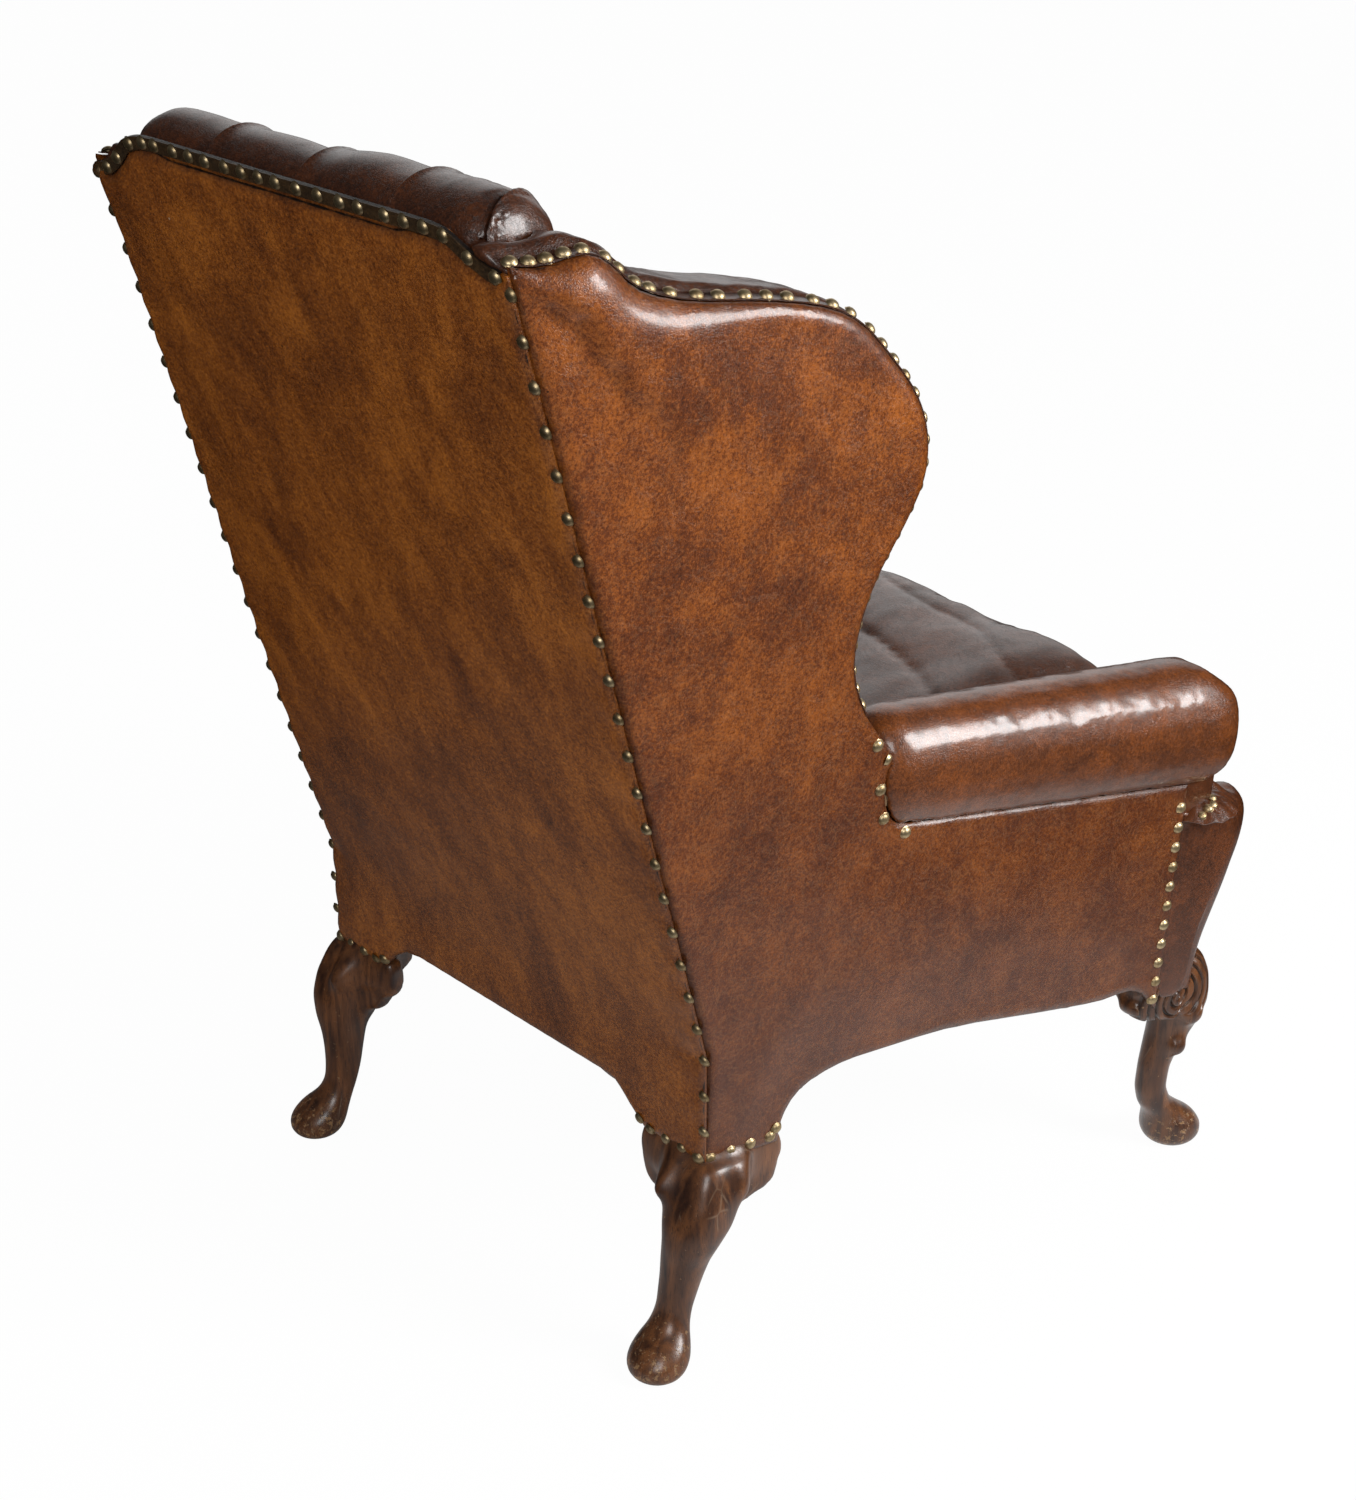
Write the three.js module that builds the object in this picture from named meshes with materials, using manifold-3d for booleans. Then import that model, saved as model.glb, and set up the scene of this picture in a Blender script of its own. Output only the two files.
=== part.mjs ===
// A leather wing armchair on carved cabriole legs, as an assembly of its real pieces.
// Millimetres, +Z up, floor at z = 0. The chair faces -Y and its mirror plane is x = 0.
// Timber frame, webbing, springs, stuffed pads, leather covers and a loose seat cushion.

import * as THREE from 'three';
import { mergeVertices } from 'three/addons/utils/BufferGeometryUtils.js';
import Module from 'manifold-3d';

const wasm = await Module();
wasm.setup();

// Driving dimensions of the whole chair
const clearance = 0.3; // gap between pieces that touch
const cutOverrun = 20; // how far a cutting shape passes beyond what it cuts
const backHalfWidth = 291; // centre line to the outside of the chair at the back corner
const bendHeight = 339; // the back stands upright below this and leans above it
const backRakeShare = 0.2665; // lean of the back per unit of height
const sideFlareShare = 0.2005; // spread of the sides per unit of depth towards the front
const sideLeanShare = 0.0533; // spread of the sides per unit of height
const backTopHeight = 1143; // top edge of the outside back leather
const kneeHeight = 222; // lower edge of the leather above the rear legs
const rearApronHeight = 262; // lower edge of the leather between the rear legs
const leatherThickness = 3;
const sideTimber = 32; // thickness of the timber in the sides
const hessianThickness = 1.3;
const padDepth = 86; // outside of a side to the inner face of its padding
const seatRailTop = 368;
const seatRailThickness = 32;
const platformHeight = 400; // where the loose cushion rests
const rollRearHeight = 577; // centre of the arm roll at its rear end
const cushionHeight = 88; // thickness of the cushion at its seams
const cushionCrown = 13;
const frontFrameFace = 590; // forward reach of the timber at the front
const frontReach = 676; // forward reach of the padded front
const frontBlockTop = 345; // the front legs end here and carry the arm posts

// Spaces in which the sides and the back are drawn flat
// Side: forward distance is -y, then height, then depth inwards from the outer face.
const sideSpace = new THREE.Matrix4().set(
  sideFlareShare, -sideLeanShare, 1, sideLeanShare * bendHeight - backHalfWidth,
  1, 0, 0, 0,
  0, 1, 0, 0,
  0, 0, 0, 1);
// Back: across, height, then depth forwards from the outer face of the leaning back.
const backSpace = new THREE.Matrix4().set(
  1, 0, 0, 0,
  0, backRakeShare, -1, -backRakeShare * bendHeight,
  0, 1, 0, 0,
  0, 0, 0, 1);
const timberStart = leatherThickness + clearance;
const timberEnd = timberStart + sideTimber;
const hessianStart = timberEnd + clearance;
const padStart = hessianStart + hessianThickness + clearance;

const lerp = THREE.MathUtils.lerp;
const clamp = THREE.MathUtils.clamp;
const backPlaneY = (z) => backRakeShare * Math.max(0, z - bendHeight);
const sidePlaneX = (y, z) => -backHalfWidth + sideFlareShare * y - sideLeanShare * (z - bendHeight);

// Geometry helpers

// Signed volume of a closed triangle mesh; positive when its faces point outwards.
function signedVolume(position, index) {
  const corner = [new THREE.Vector3(), new THREE.Vector3(), new THREE.Vector3()];
  let volume = 0;
  for (let i = 0; i < index.length; i += 3) {
    corner.forEach((point, k) => point.fromArray(position, 3 * index[i + k]));
    volume += corner[0].dot(corner[1].cross(corner[2])) / 6;
  }
  return volume;
}

// A closed body with merged corners and its faces pointing outwards.
function closedBody(geometry) {
  const bare = geometry.clone();
  bare.deleteAttribute('normal');
  bare.deleteAttribute('uv');
  const merged = mergeVertices(bare);
  const index = merged.index.array;
  if (signedVolume(merged.attributes.position.array, index) < 0) {
    for (let i = 0; i < index.length; i += 3) {
      [index[i], index[i + 1]] = [index[i + 1], index[i]];
    }
  }
  return merged;
}

function toSolid(geometry) {
  const body = closedBody(geometry);
  return new wasm.Manifold(new wasm.Mesh({
    numProp: 3,
    vertProperties: new Float32Array(body.attributes.position.array),
    triVerts: new Uint32Array(body.index.array),
  }));
}

function toGeometry(solid) {
  const mesh = solid.getMesh();
  const geometry = new THREE.BufferGeometry();
  const position = new THREE.BufferAttribute(new Float32Array(mesh.vertProperties), 3);
  geometry.setAttribute('position', position);
  geometry.setIndex(new THREE.BufferAttribute(new Uint32Array(mesh.triVerts), 1));
  return geometry;
}

function cut(geometry, ...tools) {
  return toGeometry(tools.reduce((solid, tool) => solid.subtract(toSolid(tool)), toSolid(geometry)));
}

function join(geometry, ...others) {
  return toGeometry(others.reduce((solid, other) => solid.add(toSolid(other)), toSolid(geometry)));
}

// A plate drawn as an outline of [across, up] points, between two depths of a space.
function plate(space, outline, start, end) {
  const shape = new THREE.Shape(outline.map(([a, b]) => new THREE.Vector2(a, b)));
  const geometry = new THREE.ExtrudeGeometry(shape, { depth: end - start, bevelEnabled: false });
  geometry.translate(0, 0, start);
  return closedBody(geometry.applyMatrix4(space));
}

const rectangle = (left, right, low, high) => [[left, low], [right, low], [right, high], [left, high]];

// A prism drawn in plan, upright between two heights.
function upright(outline, low, high) {
  return plate(new THREE.Matrix4(), outline, low, high);
}

// A prism drawn in plan as [y, depth inwards] beside the right side, which it follows as it leans.
function sidePrism(outline, low, high) {
  const shape = new THREE.Shape(outline.map(([y, depth]) => new THREE.Vector2(y, depth)));
  const geometry = new THREE.ExtrudeGeometry(shape, { depth: high - low, bevelEnabled: false });
  geometry.translate(0, 0, low);
  const swapped = new THREE.Matrix4().set(1, 0, 0, 0, 0, 0, 1, 0, 0, 1, 0, 0, 0, 0, 0, 1);
  return closedBody(geometry.applyMatrix4(swapped).applyMatrix4(sideSpace));
}

// A skin through rings of points, closed by flat ends.
function loft(rings) {
  const count = rings[0].length;
  const position = rings.flat().flatMap((point) => point.toArray());
  const index = [];
  for (let r = 0; r + 1 < rings.length; r += 1) {
    for (let k = 0; k < count; k += 1) {
      const next = (k + 1) % count;
      const [a, b, c, d] = [r * count + k, r * count + next, (r + 1) * count + next, (r + 1) * count + k];
      index.push(a, b, c, a, c, d);
    }
  }
  [[0, true], [rings.length - 1, false]].forEach(([r, first]) => {
    const ring = rings[r];
    const centre = ring.reduce((sum, p) => sum.add(p), new THREE.Vector3()).divideScalar(count);
    const normal = new THREE.Vector3();
    ring.forEach((point, k) => {
      const toNext = ring[(k + 1) % count].clone().sub(centre);
      normal.add(point.clone().sub(centre).cross(toNext));
    });
    const across = ring[0].clone().sub(centre).normalize();
    const up = normal.normalize().clone().cross(across).normalize();
    const flat = ring.map((point) => {
      const arm = point.clone().sub(centre);
      return new THREE.Vector2(arm.dot(across), arm.dot(up));
    });
    THREE.ShapeUtils.triangulateShape(flat, []).forEach(([a, b, c]) => {
      const face = first ? [a, c, b] : [a, b, c];
      index.push(...face.map((k) => r * count + k));
    });
  });
  const geometry = new THREE.BufferGeometry();
  geometry.setAttribute('position', new THREE.Float32BufferAttribute(position, 3));
  geometry.setIndex(index);
  return closedBody(geometry);
}

// A stuffed form: a block of cells whose corners, from -1 to 1 each way, are placed by a rule.
function stuffedBlock(cellsAcross, cellsDeep, cellsHigh, place) {
  const geometry = new THREE.BoxGeometry(2, 2, 2, cellsAcross, cellsDeep, cellsHigh);
  const position = geometry.attributes.position;
  for (let i = 0; i < position.count; i += 1) {
    const [x, y, z] = place(position.getX(i), position.getY(i), position.getZ(i));
    position.setXYZ(i, x, y, z);
  }
  return closedBody(geometry);
}

// An outline drawn in by a distance, for a closed list of points that runs anticlockwise.
function drawnIn(outline, distance) {
  const count = outline.length;
  return outline.map(([x, y], k) => {
    const [px, py] = outline[(k + count - 1) % count];
    const [nx, ny] = outline[(k + 1) % count];
    const before = new THREE.Vector2(x - px, y - py).normalize();
    const after = new THREE.Vector2(nx - x, ny - y).normalize();
    const inward = new THREE.Vector2(-before.y - after.y, before.x + after.x).normalize();
    const spread = Math.max(inward.dot(new THREE.Vector2(-before.y, before.x)), Math.SQRT1_2);
    return [x + inward.x * distance / spread, y + inward.y * distance / spread];
  });
}

// The same for its first points, without those that fold back inside tight curves.
function drawnInLine(outline, distance, count) {
  const line = outline.map(([x, y]) => new THREE.Vector2(x, y));
  const nearest = (point) => Math.min(...line.map((start, k) => {
    const run = line[(k + 1) % line.length].clone().sub(start);
    const t = clamp(point.clone().sub(start).dot(run) / run.lengthSq(), 0, 1);
    return start.clone().addScaledVector(run, t).distanceTo(point);
  }));
  return drawnIn(outline, distance).slice(0, count)
    .filter(([x, y]) => nearest(new THREE.Vector2(x, y)) > distance * 0.98);
}

function smoothLine(points, steps) {
  const curve = new THREE.SplineCurve(points.map(([a, b]) => new THREE.Vector2(a, b)));
  return curve.getPoints(steps).map((point) => [point.x, point.y]);
}

// A ring with rounded corners; roundness 2 is an ellipse, larger is squarer.
function roundedRing(centre, half, roundness, sides, turn = 0) {
  return Array.from({ length: sides }, (unused, k) => {
    const angle = 2 * Math.PI * k / sides;
    const c = Math.cos(angle);
    const s = Math.sin(angle);
    const x = Math.sign(c) * Math.abs(c) ** (2 / roundness) * half[0];
    const y = Math.sign(s) * Math.abs(s) ** (2 / roundness) * half[1];
    const cosTurn = Math.cos(turn);
    const sinTurn = Math.sin(turn);
    return new THREE.Vector3(
      centre.x + x * cosTurn - y * sinTurn, centre.y + x * sinTurn + y * cosTurn, centre.z);
  });
}

// Finishes
const finishes = {
  outerLeather: [0x71461f, 0.36, 0],
  innerLeather: [0x4c2c18, 0.34, 0],
  walnut: [0x4a2a17, 0.32, 0],
  beech: [0xb98d5e, 0.75, 0],
  jute: [0x8d6f45, 0.95, 0],
  hessian: [0xa58a5c, 0.95, 0],
  stuffing: [0xcfc4ac, 0.95, 0],
  springSteel: [0x6c6a66, 0.35, 0.9],
  blackCloth: [0x17161a, 0.95, 0],
};

const chair = new THREE.Group();
const rightSide = new THREE.Group();
const leftSide = new THREE.Group();
leftSide.scale.x = -1;
chair.add(rightSide, leftSide);

function addPiece(name, geometry, finish, parent = chair) {
  const [color, roughness, metalness] = finishes[finish];
  const material = new THREE.MeshStandardMaterial({ color, roughness, metalness });
  const mesh = new THREE.Mesh(geometry, material);
  mesh.name = name;
  parent.add(mesh);
}

// The same piece on the sitter's right and, mirrored, on the left.
function addPair(name, geometry, finish) {
  addPiece(`${name}_right`, geometry, finish, rightSide);
  addPiece(`${name}_left`, geometry.clone(), finish, leftSide);
}

const mirrored = (geometry) => closedBody(geometry.clone().scale(-1, 1, 1));

// Outline of the wing in the plane of the side
const wingTopFall = 20; // top of the back down to the top of the wing
const wingTopHeight = backTopHeight - wingTopFall;
const wingDepth = 403; // back corner to the foremost point of the wing
const wingEndRise = 59; // middle of the arm roll up to where the wing meets it
const wingDrop = wingTopHeight - rollRearHeight - wingEndRise;
const wingShares = [
  [0, 0], [0.077, 0.01], [0.169, 0], [0.223, 0.023], [0.28, 0.068], [0.392, 0.103],
  [0.576, 0.127], [0.72, 0.156], [0.809, 0.197], [0.888, 0.267], [0.955, 0.339],
  [0.993, 0.413], [0.998, 0.499], [0.958, 0.581], [0.896, 0.674], [0.859, 0.766],
  [0.851, 0.854], [0.883, 0.938], [0.931, 1],
];
const wingSteps = 44;
const wingBackY = backPlaneY(wingTopHeight) - clearance;
const wingLine = smoothLine(wingShares.map(([forward, down]) => (
  [wingBackY - forward * wingDepth, wingTopHeight - down * wingDrop])), wingSteps);

// Padded arm roll, a tapered scroll that slopes down towards the front
const armStart = 178; // how far forward of the back corner the roll starts
const armEnd = 600;
const rollFrontHeight = 530;
const rollRearHalf = [47, 61];
const rollFrontHalf = [53, 67];
const rollEndRound = 34; // length over which the rear end rounds off
const rollFaceRound = 26;
const rollFaceShare = 0.8; // size of the flat front face against the section behind it
const rollSides = 20;
const rollStations = [0, 0.25, 0.5, 0.75, 1, 2, 3, 4, 5, 6, 6.6, 6.85, 7];
const rollRoundness = 2.2;

function rollSection(y, grow) {
  const t = clamp((-y - armStart) / (armEnd - armStart), 0, 1);
  const half = [0, 1].map((k) => lerp(rollRearHalf[k], rollFrontHalf[k], t));
  const inset = padDepth - half[0];
  return {
    height: lerp(rollRearHeight, rollFrontHeight, t),
    inset,
    half: half.map((size) => size + grow),
  };
}

const rollRearShare = 0.38; // size of the roll's rear end face beside its full size
function armRollBody(grow = 0) {
  const straight = rollStations.indexOf(1);
  const last = rollStations.length - 1;
  const rings = rollStations.map((station, i) => {
    const rear = Math.min(station, 1) * rollEndRound;
    const run = (station - 1) / (rollStations[last] - 1);
    const forward = i <= straight ? rear : lerp(rollEndRound, armEnd - armStart, run);
    const y = -armStart - forward + (i === 0 ? grow : 0) - (i === last ? grow : 0);
    const { height, inset, half } = rollSection(y, grow);
    const q = 1 - rear / rollEndRound;
    const rearScale = lerp(rollRearShare, 1, Math.sqrt(Math.max(1 - q * q, 0)));
    const toFace = armEnd - armStart - forward;
    const faceTurn = Math.max(1 - toFace / rollFaceRound, 0);
    const faceScale = lerp(1, rollFaceShare, faceTurn * faceTurn);
    const scale = rearScale * faceScale;
    const centreX = sidePlaneX(y, height) + inset;
    return roundedRing(new THREE.Vector3(), half.map((size) => size * scale), rollRoundness, rollSides)
      .map((point) => {
        // The section stands square to the run of the arm, so its outer edge lies further back.
        const along = -point.x * sideFlareShare;
        const z = height + point.y;
        return new THREE.Vector3(centreX + point.x - sideLeanShare * point.y, y + along, z);
      });
  });
  return loft(rings);
}

const armRoll = armRollBody();
const armRollGrown = armRollBody(clearance);

// Rear apron and knees: lower edge of the outside back leather
const rearKneeInner = 207; // half the width between the nailed knees
const rearCove = 57; // length of the curve from a knee up to the apron

function backHemHeight(x) {
  const t = clamp((rearKneeInner - Math.abs(x)) / rearCove, 0, 1);
  return lerp(kneeHeight, rearApronHeight, Math.sin(t * Math.PI / 2));
}

// Outside back: one leather panel, bent where the back starts to lean
const backTopShoulder = 66; // width over which the top edge falls at each end
const backTopFall = 27;
const backColumns = 28;
const backRows = 5;

function outsideBackCover() {
  const width = backHalfWidth - clearance;
  const topHeight = (x) => {
    const t = clamp((Math.abs(x) - (width - backTopShoulder)) / backTopShoulder, 0, 1);
    return backTopHeight - backTopFall * Math.sin(t * Math.PI / 2);
  };
  return stuffedBlock(backColumns, 1, backRows, (u, v, w) => {
    const x = u * width;
    const rise = (w + 1) / 2;
    const bendRow = 1 / backRows;
    const z = rise < bendRow
      ? lerp(backHemHeight(x), bendHeight, rise / bendRow)
      : lerp(bendHeight, topHeight(x), (rise - bendRow) / (1 - bendRow));
    return [x, backPlaneY(z) - (v > 0 ? 0 : leatherThickness), z];
  });
}

addPiece('outside_back_cover', outsideBackCover(), 'outerLeather');

// Outside of each side: wing and arm in one leather panel
const sideKneeLength = 91; // length of the nailed knee behind the rear leg
const sideKneeHeight = 218;
const sideApronShares = [ // forward share of the arm's length, height share of the apron's rise
  [0.155, 0.02], [0.165, 0.46], [0.2, 0.82], [0.275, 1], [0.37, 1], [0.52, 0.94],
  [0.72, 0.65], [0.85, 0.48], [0.94, 0.44],
];
const sideApronRise = 68;
const sidePanelLength = 554; // back corner to the nailed front edge of the panel
const frontKneeHeight = 214;

const sideHem = smoothLine([
  ...sideApronShares.map(([forward, rise]) => (
    [-forward * sidePanelLength - clearance, sideKneeHeight + rise * sideApronRise])),
  [-sidePanelLength, frontKneeHeight],
], 24);

function outsideSideCover() {
  const rear = -clearance - leatherThickness;
  const rollTail = rollSection(-armStart, 0);
  const rollNose = rollSection(-sidePanelLength, 0);
  const outline = [
    [rear, sideKneeHeight], [rear, bendHeight],
    [backPlaneY(wingTopHeight) + rear, wingTopHeight],
    ...wingLine.slice(1).map(([y, z]) => [Math.min(y, backPlaneY(z) + rear), z]),
    [-armStart - rollEndRound, rollTail.height],
    [-sidePanelLength, rollNose.height],
    [-sidePanelLength, frontKneeHeight],
    ...sideHem.slice(0, -1).reverse(),
  ];
  return cut(plate(sideSpace, outline, 0, leatherThickness), armRollGrown);
}

addPair('outside_side_cover', outsideSideCover(), 'outerLeather');

// Rear legs: plain cabriole with a pad foot, a square block inside the covers and two ears
const rearBlock = 55; // width of the square top of a leg
const blockDrop = 30; // the square top of a leg runs this far down inside the knee
const earDepth = 124; // from the leather down to where an ear has run into the leg
const rearLegStations = [ // height share of the knee, sideways and rearward shares, half-size share
  [0, 0.02, 0.89, 0.78], [0.036, 0.03, 0.89, 0.99], [0.08, 0.04, 0.84, 1.02], [0.13, 0.07, 0.73, 0.9],
  [0.19, 0.14, 0.52, 0.64], [0.26, 0.17, 0.38, 0.57], [0.35, 0.16, 0.3, 0.63], [0.43, 0.13, 0.25, 0.69],
  [0.52, 0.09, 0.2, 0.79], [0.61, 0, 0.16, 0.92], [0.7, -0.03, 0.06, 1.05], [0.81, 0.01, -0.1, 1.1],
  [0.92, 0.11, -0.28, 1.08], [1, 0.2, -0.44, 1],
];
const roundness = 2; // exponent of a round section
const kneeSquareness = 4; // exponent of the squared section at the top of the knee
const kneeStartShare = 0.6;
const rearFootHalf = 30;
const rearLegReach = 60; // foot centre behind the back plane, taken as one share unit
const rearLegX = 284; // foot centre to the middle of the chair

function blockOutline(rear, front, grow) {
  return rectangle(rear - grow, front + grow, timberStart - grow, timberStart + rearBlock + grow);
}

function rearBlockBody(grow = 0) {
  const rear = -timberStart - rearBlock;
  const shape = blockOutline(rear, -timberStart, grow);
  return sidePrism(shape, kneeHeight - blockDrop, bendHeight - clearance + grow);
}

const legSides = 16;
const earTimber = 30;
const rearEarTimber = 20;
const earHeelShare = 0.8;
const earShares = [ // along the knee, down from the leather
  [0.98, 0], [1.03, 0.05], [1.055, 0.17], [1.02, 0.32], [0.97, 0.44], [0.9, 0.5], [0.7, 0.54],
  [0.48, 0.6], [0.27, 0.69], [0.1, 0.78],
];

// A bracket beside the knee, whose lower edge sweeps into the leg.
function earOutline(reach, drop, corner, top, sign) {
  const sweep = earShares.map(([along, down]) => [corner + sign * along * reach, top - down * drop]);
  return [[corner, top], ...sweep, [corner, top - drop * earHeelShare]];
}

const rearFace = new THREE.Matrix4().set(1, 0, 0, 0, 0, 0, -1, 0, 0, 1, 0, 0, 0, 0, 0, 1);

function rearLeg() {
  const rings = rearLegStations.map(([up, aside, behind, size]) => {
    const centre = new THREE.Vector3(
      -rearLegX + aside * rearLegReach, behind * rearLegReach, up * (kneeHeight - clearance));
    const squareness = up > kneeStartShare
      ? lerp(roundness, kneeSquareness, (up - kneeStartShare) / (1 - kneeStartShare)) : roundness;
    const half = size * rearFootHalf;
    return roundedRing(centre, [half, half], squareness, legSides);
  });
  const top = kneeHeight - clearance;
  const inside = timberStart * 2;
  const backReach = backHalfWidth - rearKneeInner - inside;
  const backEar = plate(rearFace,
    earOutline(backReach, earDepth, -backHalfWidth + inside, top, 1), leatherThickness / 2, rearEarTimber);
  const sideEar = plate(sideSpace,
    earOutline(sideKneeLength - inside, earDepth, -inside, top, -1), leatherThickness / 2, rearEarTimber);
  const underSide = plate(sideSpace, rectangle(-sidePanelLength, cutOverrun,
    sideKneeHeight - clearance, bendHeight), -cutOverrun, timberStart);
  const underBack = upright(rectangle(-backHalfWidth - cutOverrun, 0, -timberStart, rearLegReach),
    kneeHeight - clearance, bendHeight);
  return cut(join(loft(rings), backEar, sideEar, rearBlockBody()), underSide, underBack);
}

addPair('leg_rear', rearLeg(), 'walnut');


// Front legs: cabriole with a carved knee, a scroll at each side of the knee and a pad foot
const frontBlock = 50;
const frontLegStations = [ // height share of the knee, sideways and forward shares, half-size share
  [0, -0.04, 0.94, 0.76], [0.036, -0.05, 0.94, 0.94], [0.08, -0.05, 0.92, 0.97], [0.13, -0.04, 0.84, 0.86],
  [0.19, 0, 0.64, 0.64], [0.26, 0.05, 0.37, 0.52], [0.35, 0.08, 0.24, 0.47], [0.48, 0.08, 0.3, 0.48],
  [0.58, 0.06, 0.44, 0.55], [0.66, 0.02, 0.58, 0.65], [0.76, -0.04, 0.71, 0.78], [0.86, -0.07, 0.77, 0.88],
  [0.93, -0.07, 0.7, 0.93], [1.02, -0.07, 0.67, 0.9], [1.1, -0.07, 0.63, 0.76], [1.16, -0.05, 0.56, 0.5],
];
const frontFootHalf = 34;
const frontLegReach = 50;
const frontLegX = 368;
const frontLegY = 592;
const scrollRadius = 12; // carved scroll at the side of the knee
const scrollProud = 5;
const scrollDrops = [38, 80]; // from the leather down to the upper and the lower scroll
const scrollForwardShares = [0.72, 0.5]; // how far forward on the knee each scroll sits
const scrollProudShares = [0.94, 0.66];
const scrollSizeShares = [1, 0.8];
const scrollTurnShare = 0.25; // how far each scroll turns away from the knee's corner
const heelStartShare = 0.12; // inner and outer side of the leg's tenon across the frame
const heelEndShare = 0.8;
const frontEarReach = 54;
const frontEarDepth = 41;

function frontBlockBody(grow = 0) {
  const outline = rectangle(-frontFrameFace - grow, -frontFrameFace + frontBlock + grow,
    timberStart - grow, timberStart + rearBlock + grow);
  return sidePrism(outline, frontKneeHeight - clearance - grow, frontBlockTop - clearance + grow);
}

// A carved scroll: a stepped button whose rim, hollow and eye stand proud of the knee.
function scrollBoss(centre, direction, size) {
  const shares = [[1, 0.5], [0.8, 0.9], [0.55, 0.65], [0.35, 1.15], [0, 1.25]];
  const points = shares.map(([r, h]) => (
    new THREE.Vector2(r * scrollRadius * size, scrollRadius + h * scrollProud)));
  const geometry = new THREE.LatheGeometry([new THREE.Vector2(0, 0),
    new THREE.Vector2(scrollRadius * size, 0), ...points], 10);
  const turn = new THREE.Quaternion().setFromUnitVectors(new THREE.Vector3(0, 1, 0), direction);
  return closedBody(geometry.applyQuaternion(turn).translate(centre.x, centre.y, centre.z));
}

function frontKnee(grow = 0) {
  return loft(frontLegStations.map(([up, aside, forward, size]) => {
    const centre = new THREE.Vector3(-frontLegX + aside * frontLegReach,
      -frontLegY - forward * frontLegReach, up * (frontKneeHeight + grow));
    const half = size * frontFootHalf + grow;
    return roundedRing(centre, [half, half], roundness, legSides);
  }));
}

function frontLeg() {
  const top = frontKneeHeight - clearance;
  const sideEar = plate(sideSpace, earOutline(frontEarReach, frontEarDepth, -frontLegY, top, 1),
    timberStart, earTimber);
  const frontEar = plate(rearFace, earOutline(frontEarReach, frontEarDepth, -frontLegX, top, 1),
    frontFrameFace + clearance, frontFrameFace + earTimber);
  const blockInside = timberStart + rearBlock * heelStartShare;
  const blockOutside = timberStart + rearBlock * heelEndShare;
  const heel = sidePrism(rectangle(-frontLegY - frontBlock / 2, -frontFrameFace + frontBlock / 2,
    blockInside, blockOutside), top - blockDrop, top);
  const neck = sidePrism(rectangle(-frontFrameFace, -frontFrameFace + frontBlock / 2,
    blockInside, blockOutside), top - blockDrop, top + blockDrop);
  const sideways = new THREE.Vector3(-1, scrollTurnShare, 0).normalize();
  const forwards = new THREE.Vector3(scrollTurnShare, -1, 0).normalize();
  const scrolls = [sideways, forwards].flatMap((direction) => scrollDrops.map((drop, k) => {
    const forward = scrollForwardShares[k];
    const proud = frontFootHalf * scrollProudShares[k] - scrollRadius;
    return scrollBoss(new THREE.Vector3(-frontLegX + direction.x * proud,
      -frontLegY - frontLegReach * forward + direction.y * proud, frontKneeHeight - drop),
    direction, scrollSizeShares[k]);
  }));
  const behindLeather = plate(sideSpace, rectangle(-frontFrameFace - cutOverrun, -sidePanelLength / 2,
    top, frontBlockTop), -cutOverrun, timberStart);
  return join(frontKnee(), sideEar, frontEar, heel, neck, ...scrolls, cut(frontBlockBody(), behindLeather));
}

addPair('leg_front', frontLeg(), 'walnut');

// Timber frame

// Leaning back posts, one above each rear leg
const postDepth = 50;
const postWidth = 33;
const postDrop = 38; // top of the back down to the top of a post
const postTop = backTopHeight - postDrop;

function backPostBody(grow = 0) {
  const [rear, front] = [-timberStart + grow, -timberStart - postDepth - grow];
  const outline = [[rear, bendHeight - grow], [backPlaneY(postTop) + rear, postTop + grow],
    [backPlaneY(postTop) + front, postTop + grow], [front, bendHeight - grow]];
  return plate(sideSpace, outline, timberStart - grow, timberStart + postWidth + grow);
}

addPair('back_post', backPostBody(), 'beech');
const grownPosts = [backPostBody(clearance), mirrored(backPostBody(clearance))];
const grownRearBlocks = [rearBlockBody(clearance), mirrored(rearBlockBody(clearance))];
const grownFrontBlocks = [frontBlockBody(clearance), mirrored(frontBlockBody(clearance))];
const postFrontY = (z) => backPlaneY(z) - timberStart - postDepth - clearance;

// Rails of the back
const topRailDrop = 18; // top of the back down to the top of its rail
const topRailWidth = 75;
const topRailHigh = backTopHeight - topRailDrop;
const topRailLow = topRailHigh - topRailWidth;
const stuffingRailRise = 5; // from where the cushion rests up to the rails that the linings are tacked to
const stuffingRailWidth = 40;
const stuffingRailLow = platformHeight + stuffingRailRise;
const stuffingRailHigh = stuffingRailLow + stuffingRailWidth;
const betweenPosts = backHalfWidth - timberStart;
const railCrown = 4; // the top rail rises this much towards the middle of its flat part
const railEndGap = 8;
const crownShare = 0.86; // half length of the nearly flat part of the top rail

function backRail(low, high) {
  const bar = plate(backSpace, rectangle(-betweenPosts, betweenPosts, low, high), timberStart, timberEnd);
  return cut(bar, ...grownPosts);
}

function backTopRail(grow = 0) {
  const between = betweenPosts - postWidth - railEndGap;
  const shoulder = [between * crownShare, topRailHigh - railCrown];
  const end = [between, topRailHigh - backTopFall];
  const crown = smoothLine([end, shoulder, [0, topRailHigh],
    [-shoulder[0], shoulder[1]], [-end[0], end[1]]], 12);
  const outline = [[-betweenPosts, topRailLow], [betweenPosts, topRailLow],
    [betweenPosts, topRailHigh - backTopFall], ...crown, [-betweenPosts, topRailHigh - backTopFall]];
  const raised = outline.map(([x, z]) => [x, z + grow]);
  return cut(plate(backSpace, raised, timberStart - grow, timberEnd + grow), ...grownPosts);
}

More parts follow.
